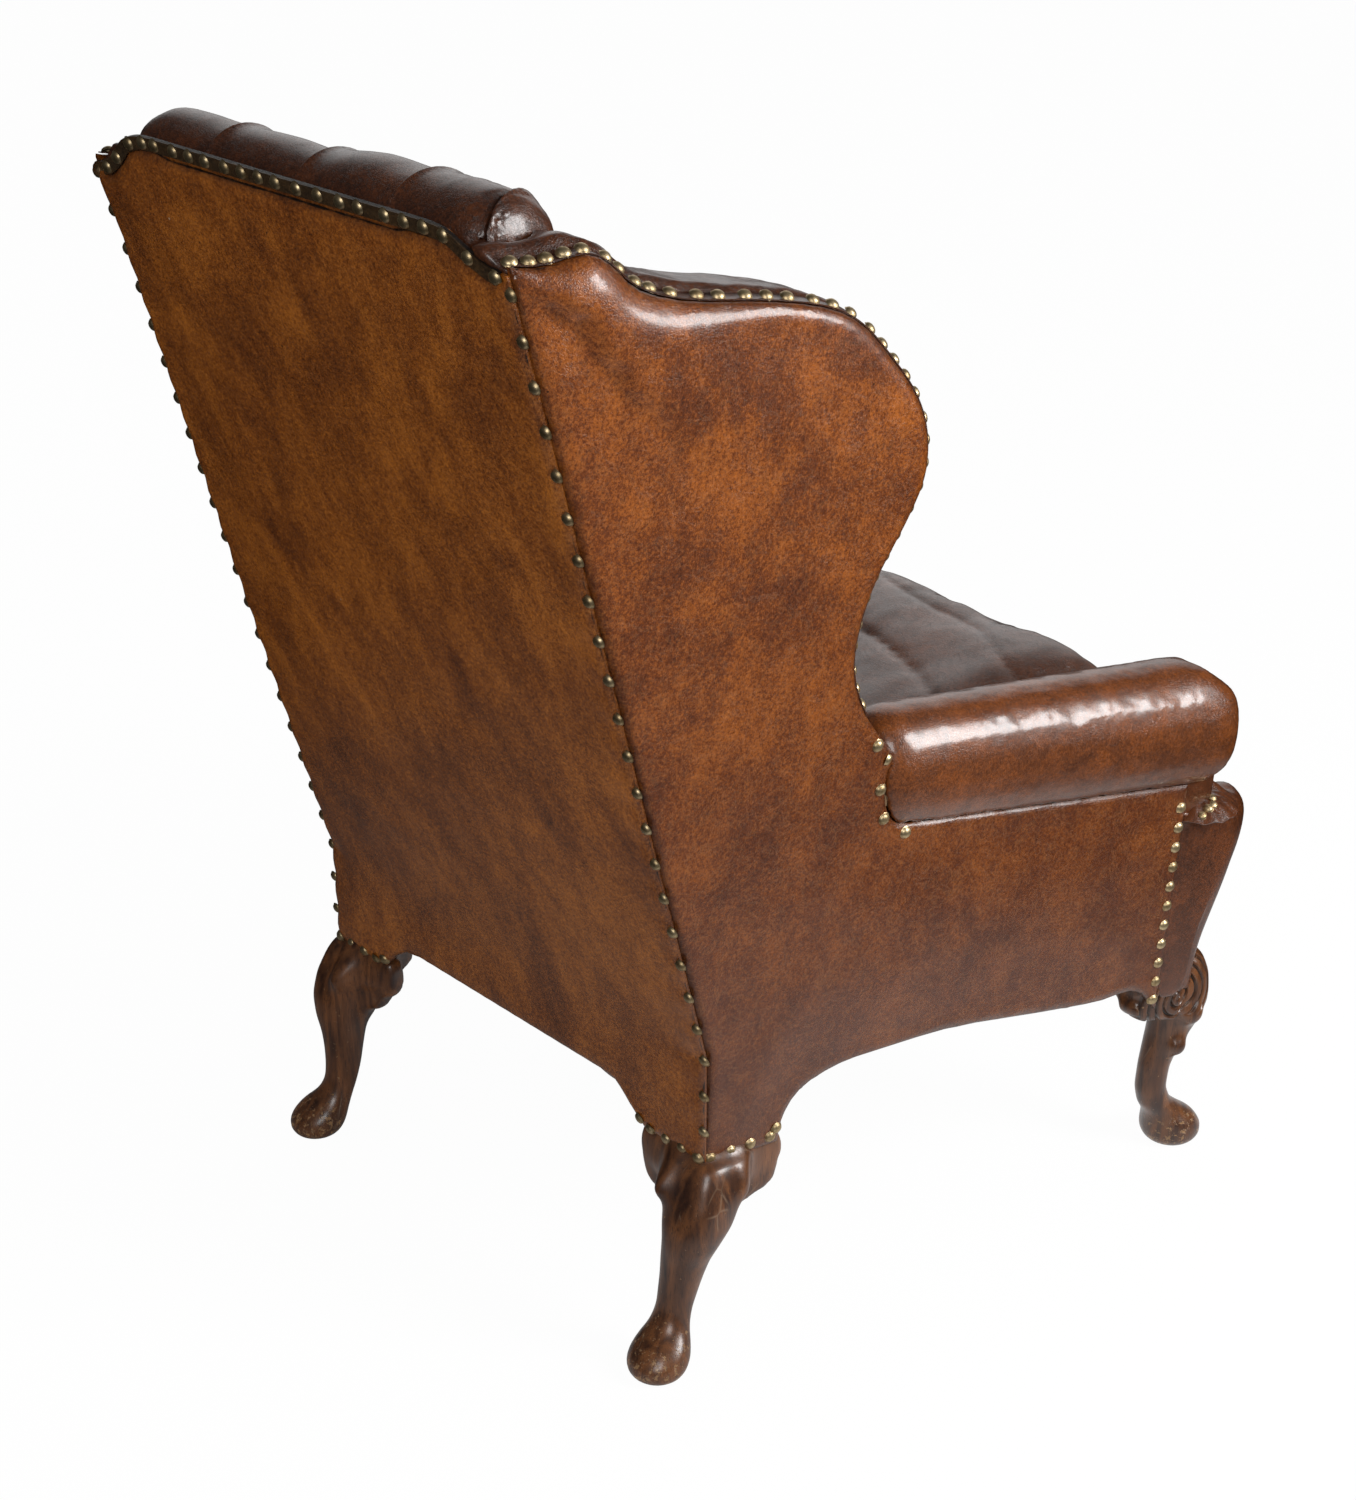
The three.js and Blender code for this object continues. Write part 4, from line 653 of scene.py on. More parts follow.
# %% The rim of a panel
def chains(edges):
    """Chains edges, as pairs of points, into ordered loops or lines."""
    joined = {}
    for a, b in edges:
        joined.setdefault(a, []).append(b)
        joined.setdefault(b, []).append(a)
    lines, left = [], set(joined)
    while left:
        following = [key for key in left if len(joined[key]) == 1] or left
        line = [min(following)]
        left.discard(line[0])
        while following := [key for key in joined[line[-1]] if key in left]:
            line.append(min(following, key=lambda key: (Vector(key) - Vector(line[-1])).length))
            left.discard(line[-1])
        lines.append([Vector(key) for key in line])
    return sorted(lines, key=len, reverse=True)


def key_of(point):
    return tuple(round(value, 6) for value in point)


def rim_of(node, outward):
    """The loop round the outer face of a panel's solid."""
    body = bmesh.new()
    body.from_mesh(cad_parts[node].data)
    bmesh.ops.remove_doubles(body, verts=body.verts, dist=merge_reach)
    edges = []
    for edge in body.edges:
        facing = [face.normal.dot(outward) > 0.6 for face in edge.link_faces]
        if len(facing) == 2 and facing[0] != facing[1]:
            edges.append((key_of(edge.verts[0].co), key_of(edge.verts[1].co)))
    body.free()
    loop = chains(edges)[0]
    around = [*loop, loop[0]]
    return [point for point, _ in spaced(around, int(length_of(around) / rim_pitch))]


print("rim helpers ready")

# %% Points along a path
rim_pitch = 0.003


def stretch(loop, start, end, through):
    """The part of a loop from start to end that passes through's side."""
    nearest = lambda target: min(range(len(loop)), key=lambda i: (loop[i] - Vector(target)).length)
    a, b, c = nearest(start), nearest(end), nearest(through)
    n = len(loop)
    forward = [loop[(a + i) % n] for i in range((b - a) % n + 1)]
    if (c - a) % n <= (b - a) % n:
        return forward
    return [loop[(a - i) % n] for i in range((a - b) % n + 1)]


def spaced(path, count, start=0.0, end=0.0):
    """Points at an even pitch along a path, and the direction of the path at each."""
    lengths = np.cumsum([0.0] + [(b - a).length for a, b in zip(path, path[1:])])
    wanted = np.linspace(start, lengths[-1] - end, count)
    found = []
    for value in wanted:
        i = int(np.clip(np.searchsorted(lengths, value) - 1, 0, len(path) - 2))
        step = path[i + 1] - path[i]
        share = (value - lengths[i]) / max(step.length, 1e-9)
        found.append((path[i] + step * share, step.normalized()))
    return found


def length_of(path):
    return sum((b - a).length for a, b in zip(path, path[1:]))


def tree_of(piece):
    return BVHTree.FromObject(piece, bpy.context.evaluated_depsgraph_get())


def dropped(tree, point, direction, reach=0.08):
    """Where a ray from outside, along direction, meets a piece near point, and the surface's own direction."""
    start = Vector(point) - Vector(direction) * reach
    where, normal, _, _ = tree.ray_cast(start, direction, 2 * reach)
    return (where, normal) if where else (Vector(point), -Vector(direction))


print("path helpers ready")

# %% [markdown]
# ## Outside leather
# The outside back and sides are stretched leather over a thin layer of wadding. A box or a flat plate would look
# like board, so each panel is a copy of its solid that is cut into a fine grid, softened along its edges, and
# swelled a little between them. The distance from the edge is kept on the mesh for the painted shade along the seams.

# %% Panel helper
grid_step = 0.008


def gridded(node, name, outward, axes):
    """A copy of a panel whose outer face has three fine borders and is cut into a grid by planes across axes."""
    piece = copy_of(node, name)
    low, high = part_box(node)
    with opened(piece.data) as body:
        bmesh.ops.dissolve_limit(body, angle_limit=math.radians(0.8), verts=body.verts, edges=body.edges)
        for width in (0.0025, 0.004, 0.006):
            outer = [face for face in body.faces if face.normal.dot(outward) > 0.6 and face.calc_area() > 0.02]
            bmesh.ops.inset_region(body, faces=outer, thickness=width, use_even_offset=False)
        for axis in axes:
            across = Vector([1.0 if i == axis else 0.0 for i in range(3)])
            for place in np.arange(low[axis] + grid_step / 2, high[axis], grid_step):
                faces = [face for face in body.faces if face.normal.dot(outward) > 0.6]
                edges = {edge for face in faces for edge in face.edges}
                verts = {vert for face in faces for vert in face.verts}
                bmesh.ops.bisect_plane(body, geom=[*verts, *edges, *faces], dist=1e-6, plane_co=across * place,
                                       plane_no=across)
    return piece


def rim_distance(points, rim):
    """How far each point is from the rim, and the nearest rim point."""
    tree = finder(rim)
    found = [tree.find(Vector(point)) for point in points]
    return np.array([distance for _, _, distance in found]), np.array([rim[number] for _, number, _ in found])


def outer_points(piece, outward):
    """Which points lie only on the outer face."""
    outer = np.ones(len(piece.data.vertices), bool)
    for face in piece.data.polygons:
        if face.normal.dot(outward) <= 0.6:
            outer[list(face.vertices)] = False
    return outer


def domed_edge(distance, radius, lean):
    """Rises over an arc of a circle that starts at an angle lean at the edge and ends flat."""
    width = radius * np.sin(lean)
    left = np.clip(width - distance, 0, width)
    return np.sqrt(radius ** 2 - left ** 2) - radius * np.cos(lean)


print("panel helper ready")

# %% Outside back
rear = 0.24137       # the plane of the rear knees
bend = 0.339         # the height where the back starts to lean
rake = 0.2665        # how far the back leans for each metre of height
back_outward = Vector((0, 1, -rake)).normalized()
back_rim = rim_of("outside_back_cover", back_outward)
stains = ((-0.225, 1.114, 0.006), (-0.220, 1.094, 0.005), (-0.230, 1.105, 0.004))


def lowered_corner(points):
    """The far top corner of this chair has settled a little, and its far edge bows out."""
    x, y, z = points.T
    lower = 0.012 * (ease(x, 0.185, 0.095) * ease(z, 1.045, 0.05)) * ease(y, 0.36, 0.05)
    wider = 0.0035 * np.sin(np.pi * np.clip((z - 0.24) / 0.85, 0, 1)) * ease(x, 0.262, 0.02)
    return points + np.outer(wider, (1, 0, 0)) - np.outer(lower, (0, 0, 1))


back = gridded("outside_back_cover", "outside_back_leather", back_outward, (0, 2))
points = points_of(back)
x, y, z = points.T
gap, edge_point = rim_distance(points, back_rim)
gap = gap - 0.0125 * ease(edge_point[:, 2], 1.108, 0.006)
swell = domed_edge(np.maximum(gap, 0), 0.009, 1.1) + 0.003 * ease(gap, 0, 0.12)
softened = rake * 0.02 * np.log1p(np.exp(-np.abs(z - bend) / 0.02)) * ease(gap, 0, 0.05)
slack = 0.0009 * rumple(points, 9.0, 1) + 0.0004 * rumple(points, 30.0, 2)
upper = ease(z, 1.04, 0.03)
puckers = 0.0011 * np.cos(x * 2 * np.pi / 0.027) * np.exp(-gap / 0.010) * upper
puckers += 0.0012 * np.cos(z * 2 * np.pi / 0.0405) * np.exp(-gap / 0.012) * (1 - upper)
lift = (swell + softened + slack * ease(gap, 0, 0.03) + puckers * (gap > 0.001)) * outer_points(back, back_outward)
# Painted shade along the seams, and a few real stains near the top corner.
seam_shade_and_stains = np.exp(-np.abs(gap) / 0.004)
for stain_x, stain_z, size in stains:
    seam_shade_and_stains += 0.75 * np.exp(-(np.hypot(x - stain_x, z - stain_z) / size) ** 2)
mark(back, "seam", np.clip(seam_shade_and_stains, 0, 1))
put_points(back, points + np.outer(lift, back_outward))
points = points_of(back)
points[:, 2] -= 0.0035 * (ease(gap, 0.010, -0.008) * ease(np.abs(edge_point[:, 0]), 0.185, -0.03))
put_points(back, lowered_corner(points))
back_rim = [Vector(point) for point in lowered_corner(np.array(back_rim))]
dress(back, back_tan, "chair", ["outside_back_cover"], math.radians(50))

# %% Outside of the arms and wings
edge_lean = 1.05
side_pieces, side_rims, side_outward = {}, {}, {}
for side, sign in both_sides:
    node = f"outside_side_cover_{side}"
    outward = Vector((sign * 1.0, 0.2005, -0.0533)).normalized()
    rim = rim_of(node, outward)
    piece = gridded(node, f"outside_side_leather_{side}", outward, (1, 2))
    points = points_of(piece)
    gap, edge_point = rim_distance(points, rim)
    edge_y, edge_z = edge_point[:, 1], edge_point[:, 2]
    at_wing = ease(edge_z, 0.66, 0.1) * ease(edge_y, 0.435, -0.03)
    shoulder = ease(edge_y, 0.20, 0.14) * at_wing * ease(edge_z, 1.0, 0.06)
    radius = 0.008 + 0.006 * at_wing + 0.020 * shoulder
    top = radius * (1 - math.cos(edge_lean))
    swell = domed_edge(gap, radius, edge_lean) - (top - 0.005) * ease(gap, 0.02, 0.16) + 0.003 * ease(gap, 0, 0.1)
    slack = 0.0009 * rumple(points, 8.0, 3) + 0.0004 * rumple(points, 28.0, 4)
    far_side = 0.003 * ease(gap, 0, 0.004) if side == "left" else 0
    lift = (swell + far_side + slack * ease(gap, 0, 0.03)) * outer_points(piece, outward)
    put_points(piece, points + np.outer(lift, outward))
    points = points_of(piece)
    points[:, 2] -= 0.006 * (ease(gap, 0.010, -0.008) * ease(edge_z, 0.33, -0.04))
    put_points(piece, lowered_corner(points))
    # Painted shade along the seams.
    mark(piece, "seam", np.exp(-gap / 0.004))
    side_outward[side] = outward
    side_rims[side] = [Vector(point) for point in lowered_corner(np.array(rim))]
    side_pieces[side] = dress(piece, side_tan, "chair", [node], math.radians(50))

# %% [markdown]
# ## Stuffed pieces
# The arm rolls, wing linings, inside back, front border and loose cushion are stuffed. Their solids give the
# overall form. A voxel remesh gives a fine skin, cloth under a little pressure fills it out where it matters,
# and creases are pressed in afterwards, because a remesh would take them away.

# %% Filling helper
def fill_out(piece, pressure, limit, frames=20):
    """Swells a skin with cloth under pressure, and lets no point move further than limit."""
    flat = points_of(piece)
    filling = piece.modifiers.new("filling", "CLOTH")
    settings = filling.settings
    settings.quality = 5
    settings.mass = 0.3
    settings.tension_stiffness = 25
    settings.compression_stiffness = 25
    settings.bending_stiffness = 2.0
    settings.use_pressure = True
    settings.uniform_pressure_force = pressure
    settings.effector_weights.gravity = 0
    for number in range(1, frames + 1):
        scene.frame_set(number)
    settle(piece)
    scene.frame_set(1)
    move = points_of(piece) - flat
    reach = np.maximum(np.linalg.norm(move, axis=1), 1e-9)
    put_points(piece, flat + move * np.minimum(1, limit / reach)[:, None])


print("filling helper ready")

# %% [markdown]
# The arm rolls are tight, with soft dents along them and fine crinkles near the front, where the leather is
# gathered over the end. The wing and arm linings are pulled unevenly.

# %% Arm rolls
for side, sign in both_sides:
    roll = relax(reskin(copy_of(f"arm_roll_{side}", f"arm_roll_leather_{side}"), 0.004), 7)
    points, normals = points_of(roll), normals_of(roll)
    dents = 0.0006 * rumple(points * [1, 1.8, 1], 18.0, 5) + 0.00012 * rumple(points, 80.0, 6)
    crinkles = 0.0004 * rumple(points * [1, 0.6, 1], 170.0, 14) * ease(points[:, 1], 0.02, -0.1)
    points = points + normals * (dents + crinkles + 0.002)[:, None]
    x, y, z = points.T
    end = ease(y, -0.30, -0.07)
    upper = ease(z, 0.56, 0.05)
    z += 0.002 * upper * (1 - end)
    z -= 0.021 * end ** 2 * upper * ease(sign * x, 0.36, 0.03)
    y -= 0.006 * end * ease(sign * x, 0.37, 0.03)
    x += sign * 0.004 * end * ease(sign * x, 0.39, 0.03)
    put_points(roll, points)
    dress(roll, roll_tan, "chair", [f"arm_roll_{side}"])

# %% Wing and arm linings
linings = {}
for side, sign in both_sides:
    for node, name in ((f"wing_pad_{side}", f"wing_lining_{side}"), (f"arm_pad_{side}", f"arm_lining_{side}")):
        lining = relax(reskin(copy_of(node, name), 0.005), 3)
        points = points_of(lining)
        pulls = 0.0015 * rumple(points, 16.0, 7) + 0.0008 * rumple(points, 60.0, 8)
        put_points(lining, points + normals_of(lining) * pulls[:, None])
        linings[name] = dress(lining, dark_brown, "chair", [node])

# %% [markdown]
# ## Front border and corners
# The padded border under the cushion wraps round both front corners and meets the arm posts, which wear a sleeve
# of the same leather.

# %% Front border
def rounded_copy(node, name, levels=2):
    """A copy whose loose triangles are joined into four-sided faces and rounded by subdivision."""
    piece = copy_of(node, name)
    with opened(piece.data) as body:
        bmesh.ops.join_triangles(body, faces=body.faces, angle_face_threshold=math.radians(40),
                                 angle_shape_threshold=math.radians(60))
    for _ in range(levels):
        refine(piece)
    return piece


border = rounded_copy("front_border", "front_border_leather")
points = points_of(border)
x, y, z = points.T
out = np.abs(x)
inner = ease(out, 0.415, -0.03) * ease(y, -0.405, 0.03)
z += (0.003 + 0.019 * inner) * (ease(out, 0.30, 0.02) * ease(z, 0.398, 0.03) * ease(normals_of(border)[:, 2], 0.1, 0.7))
put_points(border, points)
normals = normals_of(border)
centre_x, centre_y = 0.352, -0.352
reach = np.hypot(out - centre_x, y - centre_y)
angle = np.arctan2(y - centre_y, out - centre_x)
gathers = 0.0026 * np.cos(angle * 11) * ease(reach, 0.012, 0.02) * ease(z, 0.42, 0.03)
puff = 0.004 * ease(z, 0.25, 0.05) * ease(z, 0.45, -0.03)
outer = ease(y, -0.40, -0.02)
put_points(border, points + normals * ((0.0008 * rumple(points, 14.0, 9) + puff) * outer + gathers)[:, None])
for side, sign in both_sides:
    sleeve = copy_of(f"arm_post_{side}", f"post_leather_{side}")
    with opened(sleeve.data) as body:
        cut = bmesh.ops.bisect_plane(body, geom=[*body.verts, *body.edges, *body.faces], dist=1e-6,
                                     plane_co=(0, 0, 0.40), plane_no=(0, 0, 1), clear_inner=True)["geom_cut"]
        bmesh.ops.holes_fill(body, edges=[item for item in cut if isinstance(item, bmesh.types.BMEdge)])
        bmesh.ops.subdivide_edges(body, edges=body.edges, cuts=3, use_grid_fill=True)
        middle = Vector(np.mean([vert.co for vert in body.verts], axis=0))
        for vert in body.verts:
            outward = Vector(((vert.co - middle).x, (vert.co - middle).y, 0))
            vert.co += outward.normalized() * 0.0018
    mark(sleeve, "seam", [0.25] * len(sleeve.data.vertices))
    dress(sleeve, border_brown, "chair", angle=math.radians(50))
dress(border, border_brown, "chair", ["front_border"])

# %% [markdown]
# The leather of the front border is drawn together on top of each front corner, under the arm roll, and a ring
# of nails holds the folds. A dome is spun, and its points are lifted in waves that fade towards the middle.

# %% Gathers on the front corners
def gathered_cap(radius=0.042, rise=0.018, rings=12):
    """A low dome of leather drawn into pleats towards its middle, made by spinning a line of points."""
    body = spun([(radius * share, rise * (1 - share ** 2)) for share in np.linspace(0.0, 1.0, rings)], 72)
    for vert in body.verts:
        away = math.hypot(vert.co.x, vert.co.y)
        angle = math.atan2(vert.co.y, vert.co.x)
        drawn = min(max((away - 0.012) / 0.012, 0), 1)
        vert.co.z += drawn * 0.0024 * abs(math.cos(5.5 * angle + 0.6 * math.sin(2 * angle))) - 0.002 * math.exp(
            -(away / 0.008) ** 2)
    bmesh.ops.solidify(body, geom=body.faces, thickness=0.0015)
    bmesh.ops.recalc_face_normals(body, faces=body.faces)
    return mesh_from(body, "gathered cap")


caps = {}
for side, sign in both_sides:
    cap = link(f"corner_gathers_{side}", gathered_cap())
    points = points_of(cap)
    put_points(cap, points * [sign, 1, 1] + [sign * 0.396, -0.352, 0.435])
    mark(cap, "seam", 0.35 * np.exp(-np.hypot(points[:, 0], points[:, 1]) / 0.01))
    if sign < 0:
        cap.data.flip_normals()
    caps[side] = dress(cap, border_brown, "chair", angle=math.radians(60))

# %% [markdown]
# ## Inside back and cushion
# The leather of the inside back is folded in pleats over the top roll. Each pleat is a soft fold on one side of a
# sharp cleft, so the skin is split finer there first. The loose cushion is filled with a cloth simulation, then
# creased, and its top is lifted at the front as the chair in the photograph shows it.

# %% Inside back
pleat_places = ((0.121, 0.0), (-0.011, 0.0), (-0.143, 0.0), (-0.244, -0.5))
roll_low = 1.06      # the top roll starts at this height
inside = relax(reskin(copy_of("inside_back_pad", "inside_back_leather"), 0.006), 2)


def crease_lines(points):
    """The signed distance to the nearest pleat over the top roll, and how much of it is roll."""
    away = np.array([points[:, 0] - place - slant * (points[:, 1] - 0.425) for place, slant in pleat_places])
    nearest = np.abs(away).argmin(0)
    return away[nearest, np.arange(len(points))], ease(points[:, 2], 1.065, 0.03)


with opened(inside.data) as body:
    smoothed(body, [vert for vert in body.verts if vert.co.z > roll_low], 14)
    for reach in (0.014, 0.012, 0.007):
        close = [edge for edge in body.edges if min(vert.co.z for vert in edge.verts) > roll_low - 0.02
                 and min(abs(edge.verts[0].co.x - place - slant * (edge.verts[0].co.y - 0.425))
                         for place, slant in pleat_places) < reach]
        bmesh.ops.subdivide_edges(body, edges=close, cuts=1, use_grid_fill=True)
points, normals = points_of(inside), normals_of(inside)
away, on_roll = crease_lines(points)
fold = np.where(away < 0, 0.0046 * np.exp(away / 0.008), -0.0012 * np.exp(-away / 0.005))
cleft = -0.0034 * np.exp(-((away - 0.0006) / 0.0011) ** 2)
x = points[:, 0]
fuller = 0.0050 + 0.0070 * ease(x, 0.02, -0.10) * ease(x, -0.262, 0.04)
fuller -= 0.015 * ease(x, -0.242, -0.03) + 0.006 * ease(x, 0.215, 0.04)
wrinkles = 0.0005 * rumple(points * [1, 0.3, 0.3], 130.0, 15) * ease(x, -0.13, -0.03)
lift = (fold + cleft + fuller + wrinkles) * on_roll + 0.0007 * rumple(points, 20.0, 10)
put_points(inside, points + normals * lift[:, None])
# The clefts of the pleats are painted dark, as shade in the creases.
mark(inside, "seam", np.exp(-((away - 0.0006) / 0.0018) ** 2) * on_roll)
dress(inside, dark_brown, "chair", ["inside_back_pad"])

# %% Seat cushion
cushion = reskin(copy_of("seat_cushion", "seat_cushion_leather"), 0.006)
points = points_of(cushion)
middle = (points.min(0) + points.max(0)) / 2
put_points(cushion, middle + (points - middle) * [0.985, 0.985, 0.9])
fill_out(cushion, 4.0, 0.024)
relax(cushion, 2)
points, normals = points_of(cushion), normals_of(cushion)
low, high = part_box("seat_cushion")
x, y, z = points.T
top = ease(z - high[2] + 0.05, 0, 0.04)
long_fold = y + 0.32 * x + 0.03 * rumple(points, 5.0, 12)
folds = sum(depth * np.exp(-np.abs(long_fold - place) / 0.007) for place, depth in
            ((-0.36, -0.0034), (-0.27, -0.0055), (-0.17, -0.0028), (-0.05, -0.0040), (0.05, -0.0026)))
broad = 0.0058 * rumple(points * [1, 0.7, 1], 7.0, 11) + 0.0014 * rumple(points * [1, 0.5, 1], 24.0, 13)
lifted = points + normals * ((folds + broad) * (0.25 + 0.75 * top))[:, None]
front = ease(y, -0.10, -0.25)
lifted[:, 2] += (0.005 + 0.013 * front + 0.009 * front * ease(x, -0.10, 0.15)) * top
lifted[:, 2] -= 0.014 * ease(x, -0.15, -0.11) * top
print("cushion top before and after lifting", z.max(), lifted[:, 2].max(), "solid", high[2])
put_points(cushion, lifted)
refine(cushion)
dress(cushion, cushion_brown, "cushion", ["seat_cushion"])

# %% [markdown]
# ## Legs
# The legs are carved from solid walnut. The solid has flat facets, so a fine remesh and a little smoothing bring
# back the carver's curves, and the wood is darkened where it meets the leather, partly waxed black and partly painted
# shade.

# %% Leg helpers
scroll_eye = np.array([0.399, 0.2414 - 0.590, 0.210])


def filled_hollows(piece, voxel, reach, kept):
    """Grows a skin by reach and shrinks it again by kept, which fills the sharp hollows between parts."""
    put_points(piece, points_of(piece) + normals_of(piece) * reach)
    relax(reskin(piece, voxel), 4)
    put_points(piece, points_of(piece) - normals_of(piece) * kept)
    return relax(reskin(relax(piece, 2), voxel), 3)


def brought_out(leg, sign):
    """Moves the faces beside the rear knee outward, toward the face of the knee."""
    points, normals = points_of(leg), normals_of(leg)
    x, y, z = points.T
    deeper = np.clip(0.222 - z, 0, 0.035)
    knee = ease(z, 0.172, 0.022)
    on_back = ease(sign * x, 0.205, 0.06) * (1 - ease(sign * x, 0.262, 0.012))
    on_side = ease(y, 0.15, 0.07) * (1 - ease(y, 0.212, 0.012))
    y += knee * on_back * ease(normals[:, 1], 0, 0.4) * (0.006 + 0.36 * deeper)
    x += knee * sign * on_side * ease(sign * normals[:, 0], 0, 0.4) * (0.003 + 0.2 * deeper)
    put_points(leg, points)


def trimmed_ears(leg, sign, end, top):
    """The ears of this chair's legs are not quite alike, so each is moved to where the photograph has it."""
    points = points_of(leg)
    x, y, z = points.T
    if end == "rear":
        inner_ear = ease(sign * x, 0.238, -0.02)
        if sign < 0:
            x -= 0.005 * sign * inner_ear
        else:
            z += 0.015 * inner_ear * ease(z, 0.20, -0.04)
    else:
        z += 0.012 * ease(y - rear + 0.552, 0, 0.02) * ease(z, 0.21, -0.04)
    points[:, 2] = np.clip(z, 0.0, top)
    put_points(leg, points)


def carved(leg, sign):
    """Carves a spiral groove round the scroll of a front knee, and gives back how dark the groove is made: partly waxed
    black, partly painted shade.
    """
    points, normals = points_of(leg), normals_of(leg)
    away = points - scroll_eye * [sign, 1, 1]
    reach = np.linalg.norm(away * [0.6, 1.0, 1.0], axis=1)
    angle = np.arctan2(away[:, 2], -away[:, 1])
    turn = 0.5 + 0.5 * np.cos(2 * np.pi * (reach / 0.0105 - angle / (2 * np.pi)))
    here = ease(reach, 0.003, 0.004) * ease(reach, 0.062, -0.014)
    here = here * ease(sign * points[:, 0], 0.365, 0.01) * ease(points[:, 2], 0.175, 0.014)
    groove = ease(turn, 0.42, -0.42)
    put_points(leg, points + normals * ((0.0008 - 0.0034 * groove) * here)[:, None])
    return here * groove * 0.9


print("leg helpers ready")

# %% Legs
for side, sign in both_sides:
    for end, voxel, reach, kept in (("rear", 0.003, 0.013, 0.0116), ("front", 0.0022, 0.009, 0.0076)):
        node = f"leg_{end}_{side}"
        leg = relax(reskin(copy_of(node, f"{end}_leg_wood_{side}"), voxel), 2)
        if end == "rear":
            brought_out(leg, sign)
        filled_hollows(leg, voxel, reach, kept)
        low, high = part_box(node)
        trimmed_ears(leg, sign, end, high[2])
        if end == "front":
            refine(leg)
        # Darker near the top of the leg, where it meets the leather: partly waxed black, partly painted shade.
        wax_and_shade = np.exp(-np.abs(high[2] - points_of(leg)[:, 2]) / 0.012) * 0.7
        mark(leg, "seam", np.maximum(wax_and_shade, carved(leg, sign)) if end == "front" else wax_and_shade)
        dress(leg, walnut, "chair", [node])

# %% [markdown]
# ## Hidden cloth
# Under the cushion and inside the chair there is hessian, webbing and stuffing. Each is a copy of its solid with
# a woven material.

# %% Hidden cloth
hidden = {"seat_hessian": hessian, "back_hessian": hessian, "bottom_cloth": black_cloth, "seat_webbing": web,
          "back_webbing": web}
for side, sign in both_sides:
    hidden[f"wing_hessian_{side}"] = hessian
    hidden[f"arm_hessian_{side}"] = hessian
for node, finish in hidden.items():
    piece = copy_of(node, node + "_cloth")
    dress(piece, finish, "chair", [node], angle=math.radians(40))
    side = node.rsplit("_", 1)[-1]
stuffing = relax(reskin(copy_of("seat_stuffing", "seat_stuffing_pad"), 0.008), 2)
points = points_of(stuffing)
put_points(stuffing, points + normals_of(stuffing) * (0.0015 * rumple(points, 40.0, 12))[:, None])
dress(stuffing, horsehair, "chair", ["seat_stuffing"])

# %% Frame timber and springs
for name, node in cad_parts.items():
    if not node.hide_render:
        finish = steel if name.startswith("seat_spring") else beech
        node.data.materials.clear()
        node.data.materials.append(finish)
        print("finish on", name)

# %% [markdown]
# ## Brass nails
# A nail head is a low dome with a thin rim. One head is turned with a spin, and copies are set along the edges
# of the leather, square to its surface. A head has few faces, because there are hundreds of them.

# %% One nail head
def nail_head(radius=0.0060, rise=0.0034):
    """A dome of bright brass with a thin dark rim, which is darkened brass and painted shadow where the head meets the
    leather.
    """
    body = spun([(0.0, rise), (0.42 * radius, 0.93 * rise), (0.76 * radius, 0.66 * rise), (0.95 * radius, 0.3 * rise),
                 (radius, 0.0), (1.14 * radius, -0.0006)], 12)
    bmesh.ops.recalc_face_normals(body, faces=body.faces)
    for face in body.faces:
        centre = face.calc_center_median()
        # The rim faces take the second material: darkened brass with painted shadow under the head.
        face.material_index = 1 if math.hypot(centre.x, centre.y) > radius else 0
        face.smooth = True
    if sum(face.normal.z for face in body.faces) < 0:
        bmesh.ops.reverse_faces(body, faces=body.faces)
    return mesh_from(body, "nail head")


one_nail = nail_head()


print("nail head:", len(one_nail.polygons), "faces")

# %% Rows of nails
def nail_row(name, places, size=1.0):
    """One piece that holds a row of nails. Each place is a point and the way its head faces."""
    body = bmesh.new()
    for point, facing in places:
        first = len(body.verts)
        body.from_mesh(one_nail)
        body.verts.ensure_lookup_table()
        tilt = Vector((noise.noise(Vector(point) * 400), noise.noise(Vector(point) * 300), 0)) * 0.08
        turn = (Vector(facing) + tilt).to_track_quat("Z", "Y").to_matrix().to_4x4()
        bmesh.ops.transform(body, matrix=Matrix.Translation(point) @ turn @ Matrix.Scale(size, 4),
                            verts=body.verts[first:])
    dress(link(name, mesh_from(body, name)), [brass, patina_and_shadow], "chair")


def on_panel(path, count, inset, outward, tree, start=0.0, end=0.0):
    """Nail places on a panel's face, a little inside its edge."""
    places = []
    for point, along in spaced(path, count, start, end):
        inward = along.cross(outward).normalized()
        test = tree.ray_cast(point + inward * 2 * inset + outward * 0.03, -outward, 0.06)[0]
        if test is None:
            inward = -inward
        places.append(dropped(tree, point + inward * inset, -outward, 0.03))
    return places


def smooth_path(path, rounds=6):
    """Takes the small corners out of a path, and keeps its ends."""
    for _ in range(rounds):
        path = [path[0], *[(a + b * 2 + c) / 4 for a, b, c in zip(path, path[1:], path[2:])], path[-1]]
    return path


print("nail rows ready")

